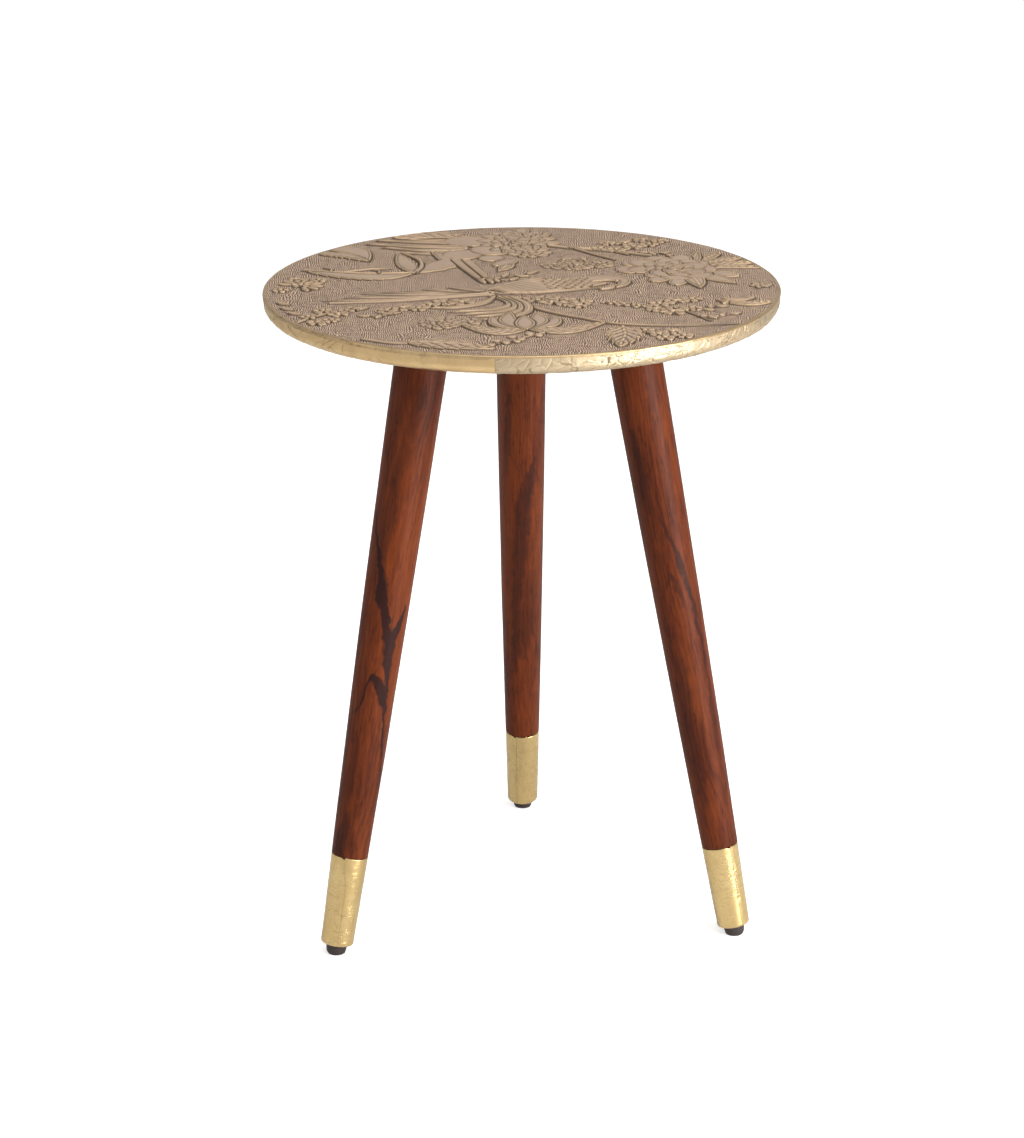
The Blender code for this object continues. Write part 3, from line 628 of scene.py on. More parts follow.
# Flowers, sprigs and their stems, from the back of the sheet to the front
def drawFlowers(art):
    # branch and sprigs at the back right
    art.stem([(14, 136), (42, 122), (72, 112), (104, 95)], 1.6, 0.7)
    art.stem([(40, 124), (66, 118), (86, 100)], 1.3, 0.7)
    art.stem([(44, 121), (60, 100), (74, 84)], 1.3, 0.7)
    for x, y, r in ((64, 122, 7), (77, 118, 8), (91, 126, 8), (84, 140, 7), (99, 150, 8), (104, 134, 7), (70, 140, 7),
                    (113, 146, 7)):
        art.blossom(x, y, r, turn=0.1 * x)
    art.twig([(96, 108), (112, 104), (124, 96)], 4)
    for spine, width in (([(-62, 98), (-32, 108)], 15), ([(-62, 146), (-24, 150)], 17), ([(-40, 122), (-8, 112)], 15),
                         ([(-22, 66), (-4, 84)], 7), ([(-34, 88), (-14, 92)], 9)):
        art.blade(spine, width, "round", crown=0.06)
    drawPeony(art, (-2, 148), 31, ((1.0, 15, 0.19), (0.78, 12, 0.18), (0.55, 9, 0.17), (0.32, 6, 0.15)), 0.2, 1.35)
    drawPeony(art, (6, 112), 18, ((1.0, 10, 0.25), (0.66, 7, 0.22), (0.34, 4, 0.18)), 0.5, 1.25)
    # three rosettes between the branch and the bird
    for x, y, r in ((26, 68, 13), (44, 64, 13), (62, 70, 13), (50, 82, 9), (34, 82, 9)):
        drawPeony(art, (x, y), r, ((1.0, 7, 0.36), (0.55, 5, 0.24)), 0.05 * x)
        art.berry(x, y, 1.8, 1.1)
    # peony at the right with pointed lower petals and long leaves
    for tip in ((118, 2), (100, 14), (170, 30)):
        art.blade([(126, 44), (0.5 * (126 + tip[0]) + 3, 0.5 * (44 + tip[1])), tip], 9.0, "petal")
    for tip in ((166, 6), (138, -8)):
        art.blade([(126, 44), (0.5 * (126 + tip[0]) + 3, 0.5 * (44 + tip[1])), tip], 8.0, "leaf", vein=0.15)
    for tip in ((192, 54), (190, 72), (178, 88), (160, 102), (142, 108)):
        art.blade([(134, 60), (0.5 * (134 + tip[0]), 0.5 * (60 + tip[1]) + 4), tip], 6.0, "leaf", vein=0.25, barbs=9)
    art.blade([(108, 56), (92, 54), (76, 46)], 14, "petal")
    art.blade([(108, 64), (92, 70), (80, 70)], 9, "petal")
    drawPeony(art, (120, 56), 36, ((1.0, 9, 0.30), (0.74, 8, 0.25), (0.48, 6, 0.20), (0.25, 4, 0.15)), 0.6, 1.1)
    # star flower and leaves at the far right
    art.ring((184, 0), 1, 9, 6, 2.3, 0.2, shape="leaf")
    art.blade([(148, -44), (172, -56), (196, -46)], 5, "leaf", vein=0.25, barbs=9)
    art.blade([(152, -40), (166, -44), (178, -38)], 3, "leaf", vein=0.2)
    # flowering sprig in the lower right
    art.stem([(62, -50), (90, -58), (116, -68), (140, -104)], 1.1)
    for x, y, r in ((66, -50, 5), (77, -55, 6), (88, -60, 6), (104, -54, 8), (116, -46, 8), (129, -41, 8),
                    (113, -77, 10), (128, -68, 8), (100, -70, 7)):
        art.blossom(x, y, r, 4 if r < 7 else 5, turn=0.05 * x)
    art.twig([(132, -74), (142, -68), (152, -56)], 4)
    art.twig([(134, -92), (146, -92), (156, -86)], 3)
    # long stem with a hanging leaf and three flowers
    art.stem([(2, -56), (20, -76), (43, -95), (74, -114), (118, -119), (160, -114)], 1.5, 0.6, pointed=True)
    art.blade([(74, -120), (75, -146), (70, -176)], 15, "leaf", vein=0.35, barbs=6, slant=1.7, barbDepth=0.30,
              teeth=7, toothDepth=0.28)
    art.stem([(84, -132), (98, -142), (120, -150)], 0.9)
    for x, y in ((90, -132), (100, -141), (110, -134), (118, -147), (104, -152)):
        art.blossom(x, y, 7, turn=0.1 * x)
    # arching stems that fall from the tail, and the blossoms beside them
    for k in range(4):
        art.blade([(-26 + 5.0 * k, -28 - 0.5 * k), (-12 + 5.0 * k, -42 - 3.0 * k), (-10 + 4.6 * k, -58 - 6.0 * k),
                   (-26 + 5.0 * k, -70 - 7.0 * k), (-56 + 8.0 * k, -76 - 7.6 * k)], 3.2, "leaf",
                  rise=0.5 + 0.05 * k, rim=0.2, vein=0.15)
    art.blade([(-20, -30), (-30, -50), (-50, -62), (-70, -64)], 3.6, "leaf", vein=0.2)
    for x, y, r in ((-90, -62, 9), (-102, -70, 8), (-70, -54, 7), (-60, -46, 9), (-46, -46, 9), (-78, -64, 7)):
        art.blossom(x, y, r, turn=0.06 * x)
    art.twig([(-92, -76), (-104, -84), (-114, -86)], 3)
    for x, y in ((12, -42), (22, -48), (32, -52), (42, -58), (34, -42), (46, -48), (24, -38)):
        art.blossom(x, y, 7.5, turn=0.2 * x)
    art.twig([(-4, -34), (8, -36), (20, -38)], 3)
    # lotus bud between two long leaves
    art.blade([(4, -126), (-20, -132), (-46, -112)], 8.5, "leaf", vein=0.3, barbs=7, slant=1.4)
    art.blade([(4, -126), (32, -130), (62, -108)], 8.5, "leaf", vein=0.3, barbs=7, slant=1.4)
    for spine in ([(2, -126), (-16, -112), (-24, -92)], [(2, -126), (20, -112), (28, -94)],
                  [(2, -126), (-10, -104), (-9, -78)], [(2, -126), (12, -104), (10, -80)],
                  [(2, -128), (2, -110), (1, -90)]):
        art.blade(spine, 7.5, "leaf", rise=0.7)
    art.stem([(16, -136), (0, -150), (-18, -166)], 0.9)
    for x, y in ((12, -144), (5, -140), (-1, -154), (-8, -148), (-12, -164), (-19, -159), (-23, -170),
                 (-4, -160)):
        art.berry(x, y, 2.9, 0.55)
    # chrysanthemum and its neighbour
    drawPeony(art, (-40, -104), 11, ((1.0, 7, 0.34), (0.5, 5, 0.24)), 0.2)
    drawChrysanthemum(art, (-60, -106), 19)
    # front leaf with chevron veins
    art.blade([(-116, -152), (-96, -162), (-72, -165)], 1.6, "stem")
    art.blade([(-84, -162), (-54, -168), (-20, -180)], 12, "leaf", vein=0.35, barbs=6, barbDepth=0.28, teeth=6,
              toothDepth=0.2)


# Leaves and the sprigs at the left rim, drawn first, so that flowers and bird lie over them
def drawLeaves(art):
    # back left: leaf at the rim and long blades
    art.blade([(-104, 160), (-76, 174), (-42, 160)], 13, "leaf", vein=0.3, barbs=6, slant=1.3, barbDepth=0.2)
    for spine in ([(-40, 140), (-80, 146), (-118, 152)], [(-40, 132), (-80, 130), (-126, 140)],
                  [(-44, 124), (-76, 118), (-112, 128)], [(-50, 114), (-72, 108), (-96, 110)],
                  [(-46, 146), (-70, 152), (-92, 154)]):
        art.blade(spine, 4.4, "feather", vein=0.2, bright=0.7)
    # big leaf in two halves about a double rib, both with toothed edges
    art.blade([(-84, 44), (-66, 66), (-56, 84), (-72, 112)], 14, "leaf", teeth=7, toothDepth=0.2)
    art.blade([(-84, 44), (-91, 74), (-99, 108)], 9, "leaf", teeth=8, toothDepth=0.2)
    art.blade([(-83, 44), (-79, 62), (-81, 84), (-95, 108)], 2.0, "stem", rise=0.9, rim=0.3)
    # long leaf that hangs below its rib, with small hooks above
    art.blade([(-168, 50), (-134, 36), (-106, 32), (-84, 43)], 9.5, "leaf", teeth=11, toothDepth=0.25)
    art.stem([(-84, 44), (-112, 42), (-144, 46), (-172, 54)], 1.4, 0.75)
    for x, y in ((-112, 43), (-150, 50)):
        art.stem([(x, y), (x, y + 8), (x - 6, y + 12)], 1.1, 0.6)
    art.stem([(-138, 48), (-122, 56), (-104, 58)], 1.2, 0.6)
    # leaf at the upper left rim in two halves
    art.blade([(-154, 124), (-134, 118), (-121, 84)], 11, "leaf")
    art.blade([(-162, 108), (-142, 103), (-121, 82)], 7, "leaf", teeth=7, toothDepth=0.3)
    # thick stems running down to the bird
    for k in (0, 1):
        art.blade([(-52 + 9 * k, 84 - 3 * k), (-45 + 8 * k, 60), (-37 + 7 * k, 36), (-29 + 6 * k, 12)], 3.4, "stem",
                  rise=0.7, rim=0.4)
    art.twig([(-34, 22), (-14, 30), (4, 40)], 4, 12)
    art.twig([(-26, 26), (-12, 20), (6, 24)], 3, 10)
    art.blade([(-20, 92), (-12, 66), (-18, 48)], 7, "leaf", vein=0.3, teeth=6)
    # left rim sprigs
    for k in range(9):
        turn = math.radians(-70 + 30 * k)
        tip = (-171 + 18 * math.cos(turn), 8 + 20 * math.sin(turn))
        art.blade([(-171, 8), tip], 3.4, "petal", vein=0.2, count=14)
    art.blossom(-171, 8, 7)
    for x, y in ((-158, 24), (-176, 26), (-186, -8)):
        art.blossom(x, y, 6, turn=0.1 * x)
    art.stem([(-168, -104), (-152, -84), (-132, -66)], 1.3)
    for x, y, r in ((-150, -70, 8), (-138, -80, 8), (-128, -66, 6), (-152, -104, 8), (-142, -98, 6), (-160, -88, 6)):
        art.blossom(x, y, r, turn=0.13 * x)
    for spine in ([(-186, -44), (-176, -52)], [(-182, -60), (-172, -68)], [(-176, -74), (-166, -80)],
                  [(-128, -66), (-116, -62)]):
        art.blade(spine, 3.0, "leaf", vein=0.2, count=12)


# cells across each quarter, fade the width over which the picture sinks into the rim, and lift how far the drawn
# heights are stretched
sheet = {"cells": 310, "radius": 197.0, "fade": 2.5, "lift": 1.35, "uneven": 0.12, "shadeSteps": 14}


# The disc of the sheet inside its rim: a square grid pressed into a circle, x*sqrt(1-y*y/2) and
# y*sqrt(1-x*x/2), raised by the picture, and cut into four quarters that meet exactly
def makeTopSheet(material):
    cells = sheet["cells"]
    line = np.linspace(-1.0, 1.0, 2 * cells + 1)
    gridX, gridY = np.meshgrid(line, line)
    x = sheet["radius"] * gridX * np.sqrt(1 - gridY**2 / 2)
    y = sheet["radius"] * gridY * np.sqrt(1 - gridX**2 / 2)
    art = SheetArt(x.ravel(), y.ravel())
    drawLeaves(art)
    drawFlowers(art)
    drawBird(art)
    shade = art.crevicePatinaAndShade.reshape(x.shape)  # spreads the crevices' patina and painted shade a little way out, as painted shade round the motifs
    for _ in range(sheet["shadeSteps"]):
        shade = (shade + sum(np.roll(shade, step, axis) for axis in (0, 1) for step in (1, -1))) / 5
    inside = smoothStep((sheet["radius"] - np.hypot(x, y)) / sheet["fade"])
    uneven = latticeNoise(x / 400 + 0.5, y / 400 + 0.5, 26, 26, 5) * sheet["uneven"]
    height = (art.height.reshape(x.shape) * sheet["lift"] + uneven) * inside
    points = np.stack([x * mm, y * mm, tableHeight + height * mm], axis=-1)
    normals = np.cross(np.gradient(points, axis=1), np.gradient(points, axis=0))
    normals /= np.maximum(np.linalg.norm(normals, axis=-1, keepdims=True), 1e-12)
    layers = {"ground": art.ground, "raisedHighlight": art.raisedHighlight, "crevicePatinaAndShade": art.crevicePatinaAndShade, "shade": np.clip(2.2 * shade, 0, 1)}
    quads = gridQuads(cells + 1, cells + 1)[:, ::-1]
    pieces = []
    for name, row, column in (("topSheet_frontLeft", 0, 0), ("topSheet_frontRight", 0, cells),
                              ("topSheet_backLeft", cells, 0), ("topSheet_backRight", cells, cells)):
        part = (slice(row, row + cells + 1), slice(column, column + cells + 1))
        values = {key: numbers.reshape(x.shape)[part] for key, numbers in layers.items()}
        pieces.append(makePiece(name, points[part].reshape(-1, 3), quads, "top", material,
                                values, normals[part].reshape(-1, 3)))
    return pieces


# The facing angle, in degrees, at which each edge strip starts; they meet at these two butt joints
stripStarts = {"smooth": 84.2, "crinkled": -95.8}

# Widths and depths in millimetres; the lip is the part that hangs over the strips, and worn the arc of darker nicks
rim = {
    "columns": 1080, "start": 196.4, "rounding": 1.2, "lipSmooth": 3.0, "lipCrinkled": 1.7, "thickness": 0.5,
    "ragged": 0.25, "slowWave": 0.10, "fastWave": 0.08, "lift": 0.12, "setIn": 0.15, "worn": (172, 244),
}


# Noise of one value for each place round the rim
def rimNoise(turn, cells, seed):
    return latticeNoise(turn / (2 * np.pi), 0 * turn, cells, 1, seed)


# The turned-down rim: a profile of a flat, a quarter round, a lip and its underside carried round the disc, its
# radius and height pushed about by noise; the lip is deeper over the smooth strip
def makeRim(material):
    turn = np.linspace(0.0, 2 * np.pi, rim["columns"], endpoint=False)
    degrees = np.degrees(turn)
    fromSmooth = (degrees - stripStarts["smooth"]) % 360
    onSmooth = smoothStep(fromSmooth / 2.0) * smoothStep((180 - fromSmooth) / 2.0)
    lip = rim["lipCrinkled"] + (rim["lipSmooth"] - rim["lipCrinkled"]) * onSmooth
    lip = lip + rim["ragged"] * rimNoise(turn, 60, 3)
    edge = topRadius / mm
    r = rim["rounding"]
    profile = [(rim["start"], -0.06), (rim["start"] + 0.8, 0.0)]
    profile += [(edge - r + r * math.cos(a), -r + r * math.sin(a)) for a in np.linspace(math.pi / 2, 0, 6)]
    profile += [(edge - 0.10 * k, -r - (lip - r) * k) for k in (0.3, 0.6, 0.85, 1.0)]
    profile += [(edge - rim["thickness"], -lip), (edge - rim["thickness"], -lip + 1.0)]
    radii = np.array([radius + 0 * turn for radius, _ in profile])
    heights = np.array([height + 0 * turn for _, height in profile])
    wave = rim["slowWave"] * rimNoise(turn, 140, 8) + rim["fastWave"] * rimNoise(turn, 420, 9)
    weight = np.array([0, 0, 0.2, 0.5, 0.8, 1, 1, 1, 1, 1, 1, 1, 0.6, 0])[:, None]
    radii = radii + (wave - rim["setIn"]) * weight
    heights = heights + rim["lift"] * rimNoise(turn, 90, 12) * np.clip(weight, 0, 0.6)
    points = np.stack([radii * np.cos(turn) * mm, radii * np.sin(turn) * mm, tableHeight + heights * mm], axis=-1)
    nicks = latticeNoise(turn / (2 * np.pi) + 0.01 * heights, np.clip(-heights / 4, 0, 1), 420, 3, 14)
    wornFrom, wornTo = rim["worn"]
    worn = smoothStep((degrees - wornFrom) / 12) * smoothStep((wornTo - degrees) / 10)
    nicks = smoothStep(5 * (nicks - 0.35)) * (0.15 + 0.85 * worn) * (weight > 0.6)
    makePiece("topSheet_rim", points.reshape(-1, 3), gridQuads(len(profile), rim["columns"], wrap=True)[:, ::-1], "top",
              material, {"crack": nicks})


# Between calmFrom and calmTo degrees from its start a strip's creases come up from the share calm to full depth
strips = {
    "smooth": {"columns": 1100, "rows": 70, "creaseSize": 8.0, "crease": 0.34, "waviness": 0.16, "seed": 21,
               "calmFrom": 158.0, "calmTo": 146.0, "calm": 0.10},
    "crinkled": {"columns": 1150, "rows": 78, "creaseSize": 6.5, "crease": 0.42, "waviness": 0.26, "seed": 34,
                 "calmFrom": 8.0, "calmTo": 26.0, "calm": 0.45},
}

# What the two strips share: gap is in degrees at each end, and the rest is in millimetres
stripShape = {
    "gap": 0.035, "sideRadius": 199.2, "bend": 7.5, "under": 12.0, "foldWidth": 0.55, "crackWidth": 0.40,
    "crackDepth": 0.20, "pleat": 0.35, "setIn": 0.15, "endTurn": 0.75, "hiddenTurn": 0.6, "lowest": 0.9,
}


# An edge strip: straight down the side, a quarter round at the lower edge, and flat under the board, every point
# pushed out along the section's normal by facets, folds, cracks and waves; its ends and hidden edge are turned in
def makeStrip(kind, material):
    style = strips[kind]
    start = stripStarts[kind]
    node = f"edge_strip_{kind}"
    low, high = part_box(node)
    top = high.z / mm
    bottom = low.z / mm
    columns = style["columns"]
    rows = style["rows"]
    seed = style["seed"]
    gap = stripShape["gap"]
    bend = stripShape["bend"]
    along = np.linspace(0, 1, columns)
    along[[1, 2, -3, -2]] = 2e-5, 6e-5, 1 - 6e-5, 1 - 2e-5  # columns close to the ends keep their corners sharp
    turn = np.radians(start + gap + (180 - 2 * gap) * along)
    straight = top - bottom - bend
    total = straight + bend * math.pi / 2 + stripShape["under"]
    s = np.linspace(0.0, total, rows)[:, None] + 0 * turn
    around = np.clip((s - straight) / bend, 0.0, math.pi / 2)
    beyond = np.clip(s - straight - bend * math.pi / 2, 0.0, None)
    radius = stripShape["sideRadius"] - bend + bend * np.cos(around) - beyond
    height = np.where(s < straight, top - s, bottom + bend - bend * np.sin(around))
    arc = np.degrees(turn)[None, :] / 180 * math.pi * 200 + 0 * s
    local = arc - arc.min()
    length = local.max() + 40

    def noise(cellsAlong, cellsDown, step):
        return latticeNoise(local / length, s / total, cellsAlong, cellsDown, seed + step)

    skew = local + 0.6 * s + 4 * noise(30, 3, 1)
    creases = creaseField(skew, s + 2.0 * noise(60, 4, 2), length + 60, total, style["creaseSize"], seed)
    share = (np.degrees(turn)[None, :] - start - style["calmFrom"]) / (style["calmTo"] - style["calmFrom"])
    rough = style["calm"] + (1 - style["calm"]) * smoothStep(share)
    fold = np.exp(-(creases / stripShape["foldWidth"]) ** 2)
    cracks = np.exp(-(creases / stripShape["crackWidth"]) ** 2) * smoothStep(3.0 * noise(110, 5, 8) + 0.1)
    facets = np.clip(creases, 0, 4) / 4
    fine = noise(420, 26, 3)
    slow = noise(70, 5, 4)
    push = style["crease"] * (0.55 * facets - 0.75 * fold * np.sign(noise(90, 6, 5)))
    push = (push - stripShape["crackDepth"] * cracks) * rough
    push = push + style["waviness"] * (0.6 * slow * rough + 0.3 * fine * rough + 0.12 * slow)
    pleats = latticeNoise(local / length, 0 * s, 150, 1, seed + 6) * smoothStep((s - straight - 8) / 10)
    push = push + stripShape["pleat"] * pleats - stripShape["setIn"]
    push[:, [0, -1]] = -stripShape["endTurn"]
    push[-1] = -stripShape["hiddenTurn"]
    radius = radius + push * np.cos(around)
    height = np.maximum(height - push * np.sin(around), bottom - stripShape["lowest"])
    points = np.stack([radius * np.cos(turn) * mm, radius * np.sin(turn) * mm, height * mm], axis=-1)
    piece = makePiece(f"edgeStrip_{kind}", points.reshape(-1, 3), gridQuads(rows, columns)[:, ::-1], "top",
                      material, {"crack": cracks * smoothStep(2.5 * (rough - 0.2))})
    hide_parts(node)


# Radii and lengths in millimetres; for each leg the length of its ferrule, the facing angle of the seam, how far the
# seam leans over at its top and how far the rim tilts, in degrees and millimetres; pins are shares of the ferrule
legShape = {
    "topRadius": 20.6, "floorRadius": 12.6, "swell": 1.0, "washerGap": 2.1, "chamfer": 0.8, "sleeve": 0.8, "glide": 8.5,
    "ferrule": {"right": 68.0, "rear": 70.5, "left": 73.3}, "seam": {"right": -57.0, "rear": -112.0, "left": -88.0},
    "seamLean": {"right": 0.0, "rear": 0.0, "left": -14.0}, "tilt": {"right": 0.5, "rear": 0.2, "left": 1.3},
    "pins": (0.36, 0.72),
}


# Reads a leg's axis from its joint: the seat, the turn of its frame, and the way up
def readLeg(side):
    joint = next(j for j in frame["joints"] if j["name"] == f"leg_{side}_unscrew")
    down = Vector(joint["axis"])
    azimuth = math.atan2(down.y, down.x)
    splay = math.acos(-down.z)
    seat = Vector(joint["pos_m"])
    turn = (0.0, -splay, azimuth)
    matrix = Matrix.Rotation(azimuth, 3, "Z") @ Matrix.Rotation(-splay, 3, "Y")
    return {"side": side, "seat": seat, "turn": turn, "matrix": np.array(matrix), "azimuth": azimuth,
            "seed": sides.index(side), "fullLength": seat.z / math.cos(splay) / mm, 
            "swellLength": undersideHeight / math.cos(splay) / mm, "body": f"leg_{side}_assembly"}


# Leg radius in millimetres at a distance up its axis from the floor: a straight taper with a slight swell
def legRadius(leg, along):
    share = along / leg["swellLength"]
    straight = legShape["floorRadius"] + (legShape["topRadius"] - legShape["floorRadius"]) * share
    return straight + 4 * legShape["swell"] * share * (1 - share)


# The leg's top face: a washer's thickness and its gaps below the seat
def legTop(leg):
    return leg["fullLength"] - legShape["washerGap"]


# Carries points about a leg's axis, in millimetres across it twice and up it from the floor, into the leg's place
def placeOnLeg(leg, x, y, along):
    local = np.stack(np.broadcast_arrays(x, y, along - leg["fullLength"]), axis=-1) * mm
    return (local @ leg["matrix"].T + np.array(leg["seat"])).reshape(-1, 3)


# The same for a form turned about the axis, as a radius and a height at each angle
def placeTurned(leg, radius, along, angle):
    return placeOnLeg(leg, radius * np.cos(angle), radius * np.sin(angle), along)


def fullTurn(columns):
    return np.linspace(0, 2 * np.pi, columns, endpoint=False)[None, :]


# A profile's (radius, height) pairs as two columns
def profileColumns(profile):
    pairs = np.array(profile)
    return pairs[:, :1], pairs[:, 1:]


# The wood: the leg's radius at each height, turned about its axis, with a hand-worked unevenness, a chamfered top
# with a bore for the bolt, and a thinner end inside the ferrule
def makeLegWood(leg, material):
    side = leg["side"]
    angle = fullTurn(180)
    topAt = legTop(leg)
    topOut = legRadius(leg, topAt)
    shoulder = legShape["glide"] + legShape["ferrule"][side] + 0.3
    end = legShape["glide"] + legShape["sleeve"] + 0.3
    chamfer = legShape["chamfer"]
    sunk = legShape["sleeve"] + 0.3
    profile = [(0.0, topAt - 20), (3.4, topAt - 20), (3.4, topAt - 0.3), (3.7, topAt)]
    profile += [(topOut - chamfer - 0.4, topAt), (topOut - 0.35 * chamfer, topAt - 0.3 * chamfer)]
    profile += [(legRadius(leg, a), a) for a in np.linspace(topAt - chamfer, shoulder + 0.5, 400)]
    profile += [(legRadius(leg, shoulder) - 0.25, shoulder + 0.05), (legRadius(leg, shoulder) - sunk, shoulder)]
    profile += [(legRadius(leg, end + 1.6) - sunk, end + 1.6), (legRadius(leg, end) - sunk - 1.6, end)]
    profile += [(1.4, end), (1.4, end + 12), (0.0, end + 12)]
    radius, along = profileColumns(profile)
    outer = (radius > 12.0) & (along > shoulder)
    share = along / leg["fullLength"]
    hand = latticeNoise(angle / (2 * np.pi), share, 3, 9, 50 + leg["seed"]) * 0.12
    hand = hand + latticeNoise(angle / (2 * np.pi), share, 8, 60, 60 + leg["seed"]) * 0.03
    radius, along, angle = np.broadcast_arrays(radius + np.where(outer, hand, 0.0), along, angle)
    piece = makePiece(f"legWood_{side}", placeTurned(leg, radius, along, angle), gridQuads(*radius.shape, wrap=True),
                      leg["body"], material, {"heart": heartStreaks(leg, angle, along)})
    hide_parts(f"leg_{side}")


# Dark heartwood streaks on each leg: (facing angle, height up the leg, half width, darkness) along each streak
heartwood = {
    "left": [
        [(-157, 358, 0.7, 0.6), (-125, 328, 1.4, 0.8), (-103, 298, 4.2, 1.0), (-92, 286, 2.4, 1.0),
         (-80, 272, 2.2, 1.0), (-68, 258, 4.6, 1.0), (-60, 230, 1.8, 1.0), (-52, 206, 1.4, 1.0), (-42, 180, 1.2, 0.8),
         (-20, 143, 1.0, 0.7)],
        [(-34, 288, 0.8, 0.9), (-50, 272, 2.0, 0.9), (-66, 258, 3.6, 1.0)],
        [(-130, 200, 0.8, 0.7), (-114, 220, 1.1, 0.8), (-97, 232, 1.0, 0.8)],
        [(-100, 231, 0.8, 0.8), (-84, 227, 2.2, 1.0), (-68, 219, 3.0, 1.0), (-58, 208, 1.4, 0.8)],
        [(-80, 452, 4.0, 0.35), (-110, 380, 5.0, 0.3), (-120, 300, 4.0, 0.3)],
        [(-40, 470, 2.0, 0.35), (-52, 445, 2.6, 0.4), (-60, 420, 1.4, 0.3)],
        [(-118, 110, 5.0, 0.45), (-128, 90, 6.0, 0.5)],
        [(40, 430, 3.0, 0.8), (70, 330, 6.0, 0.9), (95, 200, 3.0, 0.8)],
    ],
    "rear": [
        [(-58, 352, 1.0, 0.5), (-70, 330, 4.2, 0.6), (-86, 305, 7.0, 0.6), (-98, 262, 6.0, 0.5), (-106, 215, 4.5, 0.5),
         (-112, 150, 3.0, 0.4)],
        [(-120, 408, 1.6, 0.4), (-126, 380, 3.0, 0.45), (-130, 340, 3.0, 0.3)],
        [(100, 420, 3.0, 0.8), (80, 300, 5.0, 0.9), (60, 220, 2.0, 0.8)],
        [(-60, 235, 6.0, 0.3), (-80, 190, 9.0, 0.35), (-90, 170, 6.0, 0.3)],
    ],
    "right": [
        [(-128, 420, 2.0, 0.4), (-122, 385, 4.5, 0.5), (-118, 360, 3.0, 0.4)],
        [(-95, 352, 1.0, 0.5), (-72, 318, 1.8, 0.6), (-55, 290, 2.4, 0.6), (-40, 240, 2.0, 0.5), (-35, 180, 2.4, 0.4)],
        [(-112, 296, 1.0, 0.5), (-100, 306, 1.6, 0.5), (-86, 300, 1.4, 0.5), (-76, 280, 1.4, 0.4)],
        [(-55, 470, 4.0, 0.3), (-70, 440, 3.0, 0.35)],
        [(-110, 230, 5.0, 0.35), (-118, 180, 6.0, 0.4), (-112, 120, 5.0, 0.3)],
        [(20, 440, 3.0, 0.8), (45, 330, 5.0, 0.8), (30, 220, 3.0, 0.6)],
    ],
}


# Darkness at each point is that of the nearest place on a streak, fading out over the streak's half width;
# a lattice noise shifts the points sideways so that the streaks' edges run ragged
def heartStreaks(leg, angle, along):
    degrees = np.degrees(angle + leg["azimuth"]).ravel()
    height = along.ravel()
    seed = 40 + leg["seed"]
    ragged = 1.3 * latticeNoise(degrees / 360, height / 500, 24, 70, seed)
    ragged = ragged + 0.7 * latticeNoise(degrees / 360, height / 500, 60, 190, seed + 3)
    darkness = np.zeros_like(height)
    for streak in heartwood[leg["side"]]:
        knots = np.array(streak)
        step = np.linspace(0, len(knots) - 1, 26 * (len(knots) - 1))
        facing, up, halfWidth, depth = (np.interp(step, np.arange(len(knots)), knots[:, k]) for k in range(4))
        near = np.flatnonzero((height > up.min() - 12) & (height < up.max() + 12))
        sideways = (degrees[near, None] - facing + 180) % 360 - 180
        sideways = np.radians(sideways) * 17.0 + ragged[near, None]
        distance = np.hypot(sideways, (height[near, None] - up) * 0.45)
        mask = (smoothStep(1.5 - distance / halfWidth) * depth).max(axis=1)
        darkness[near] = np.maximum(darkness[near], mask)
    return darkness.reshape(along.shape)


# lap is how far the seam's outer end stands proud, roll the radius of the foot's edge, lips and beaten the
# unevenness of the rim and of the sheet, and dent the depth and width of the hollow about each pin
ferruleShape = {"lap": 0.16, "roll": 1.6, "lips": 0.10, "beaten": (0.05, 0.07), "dent": (0.42, 1.3)}


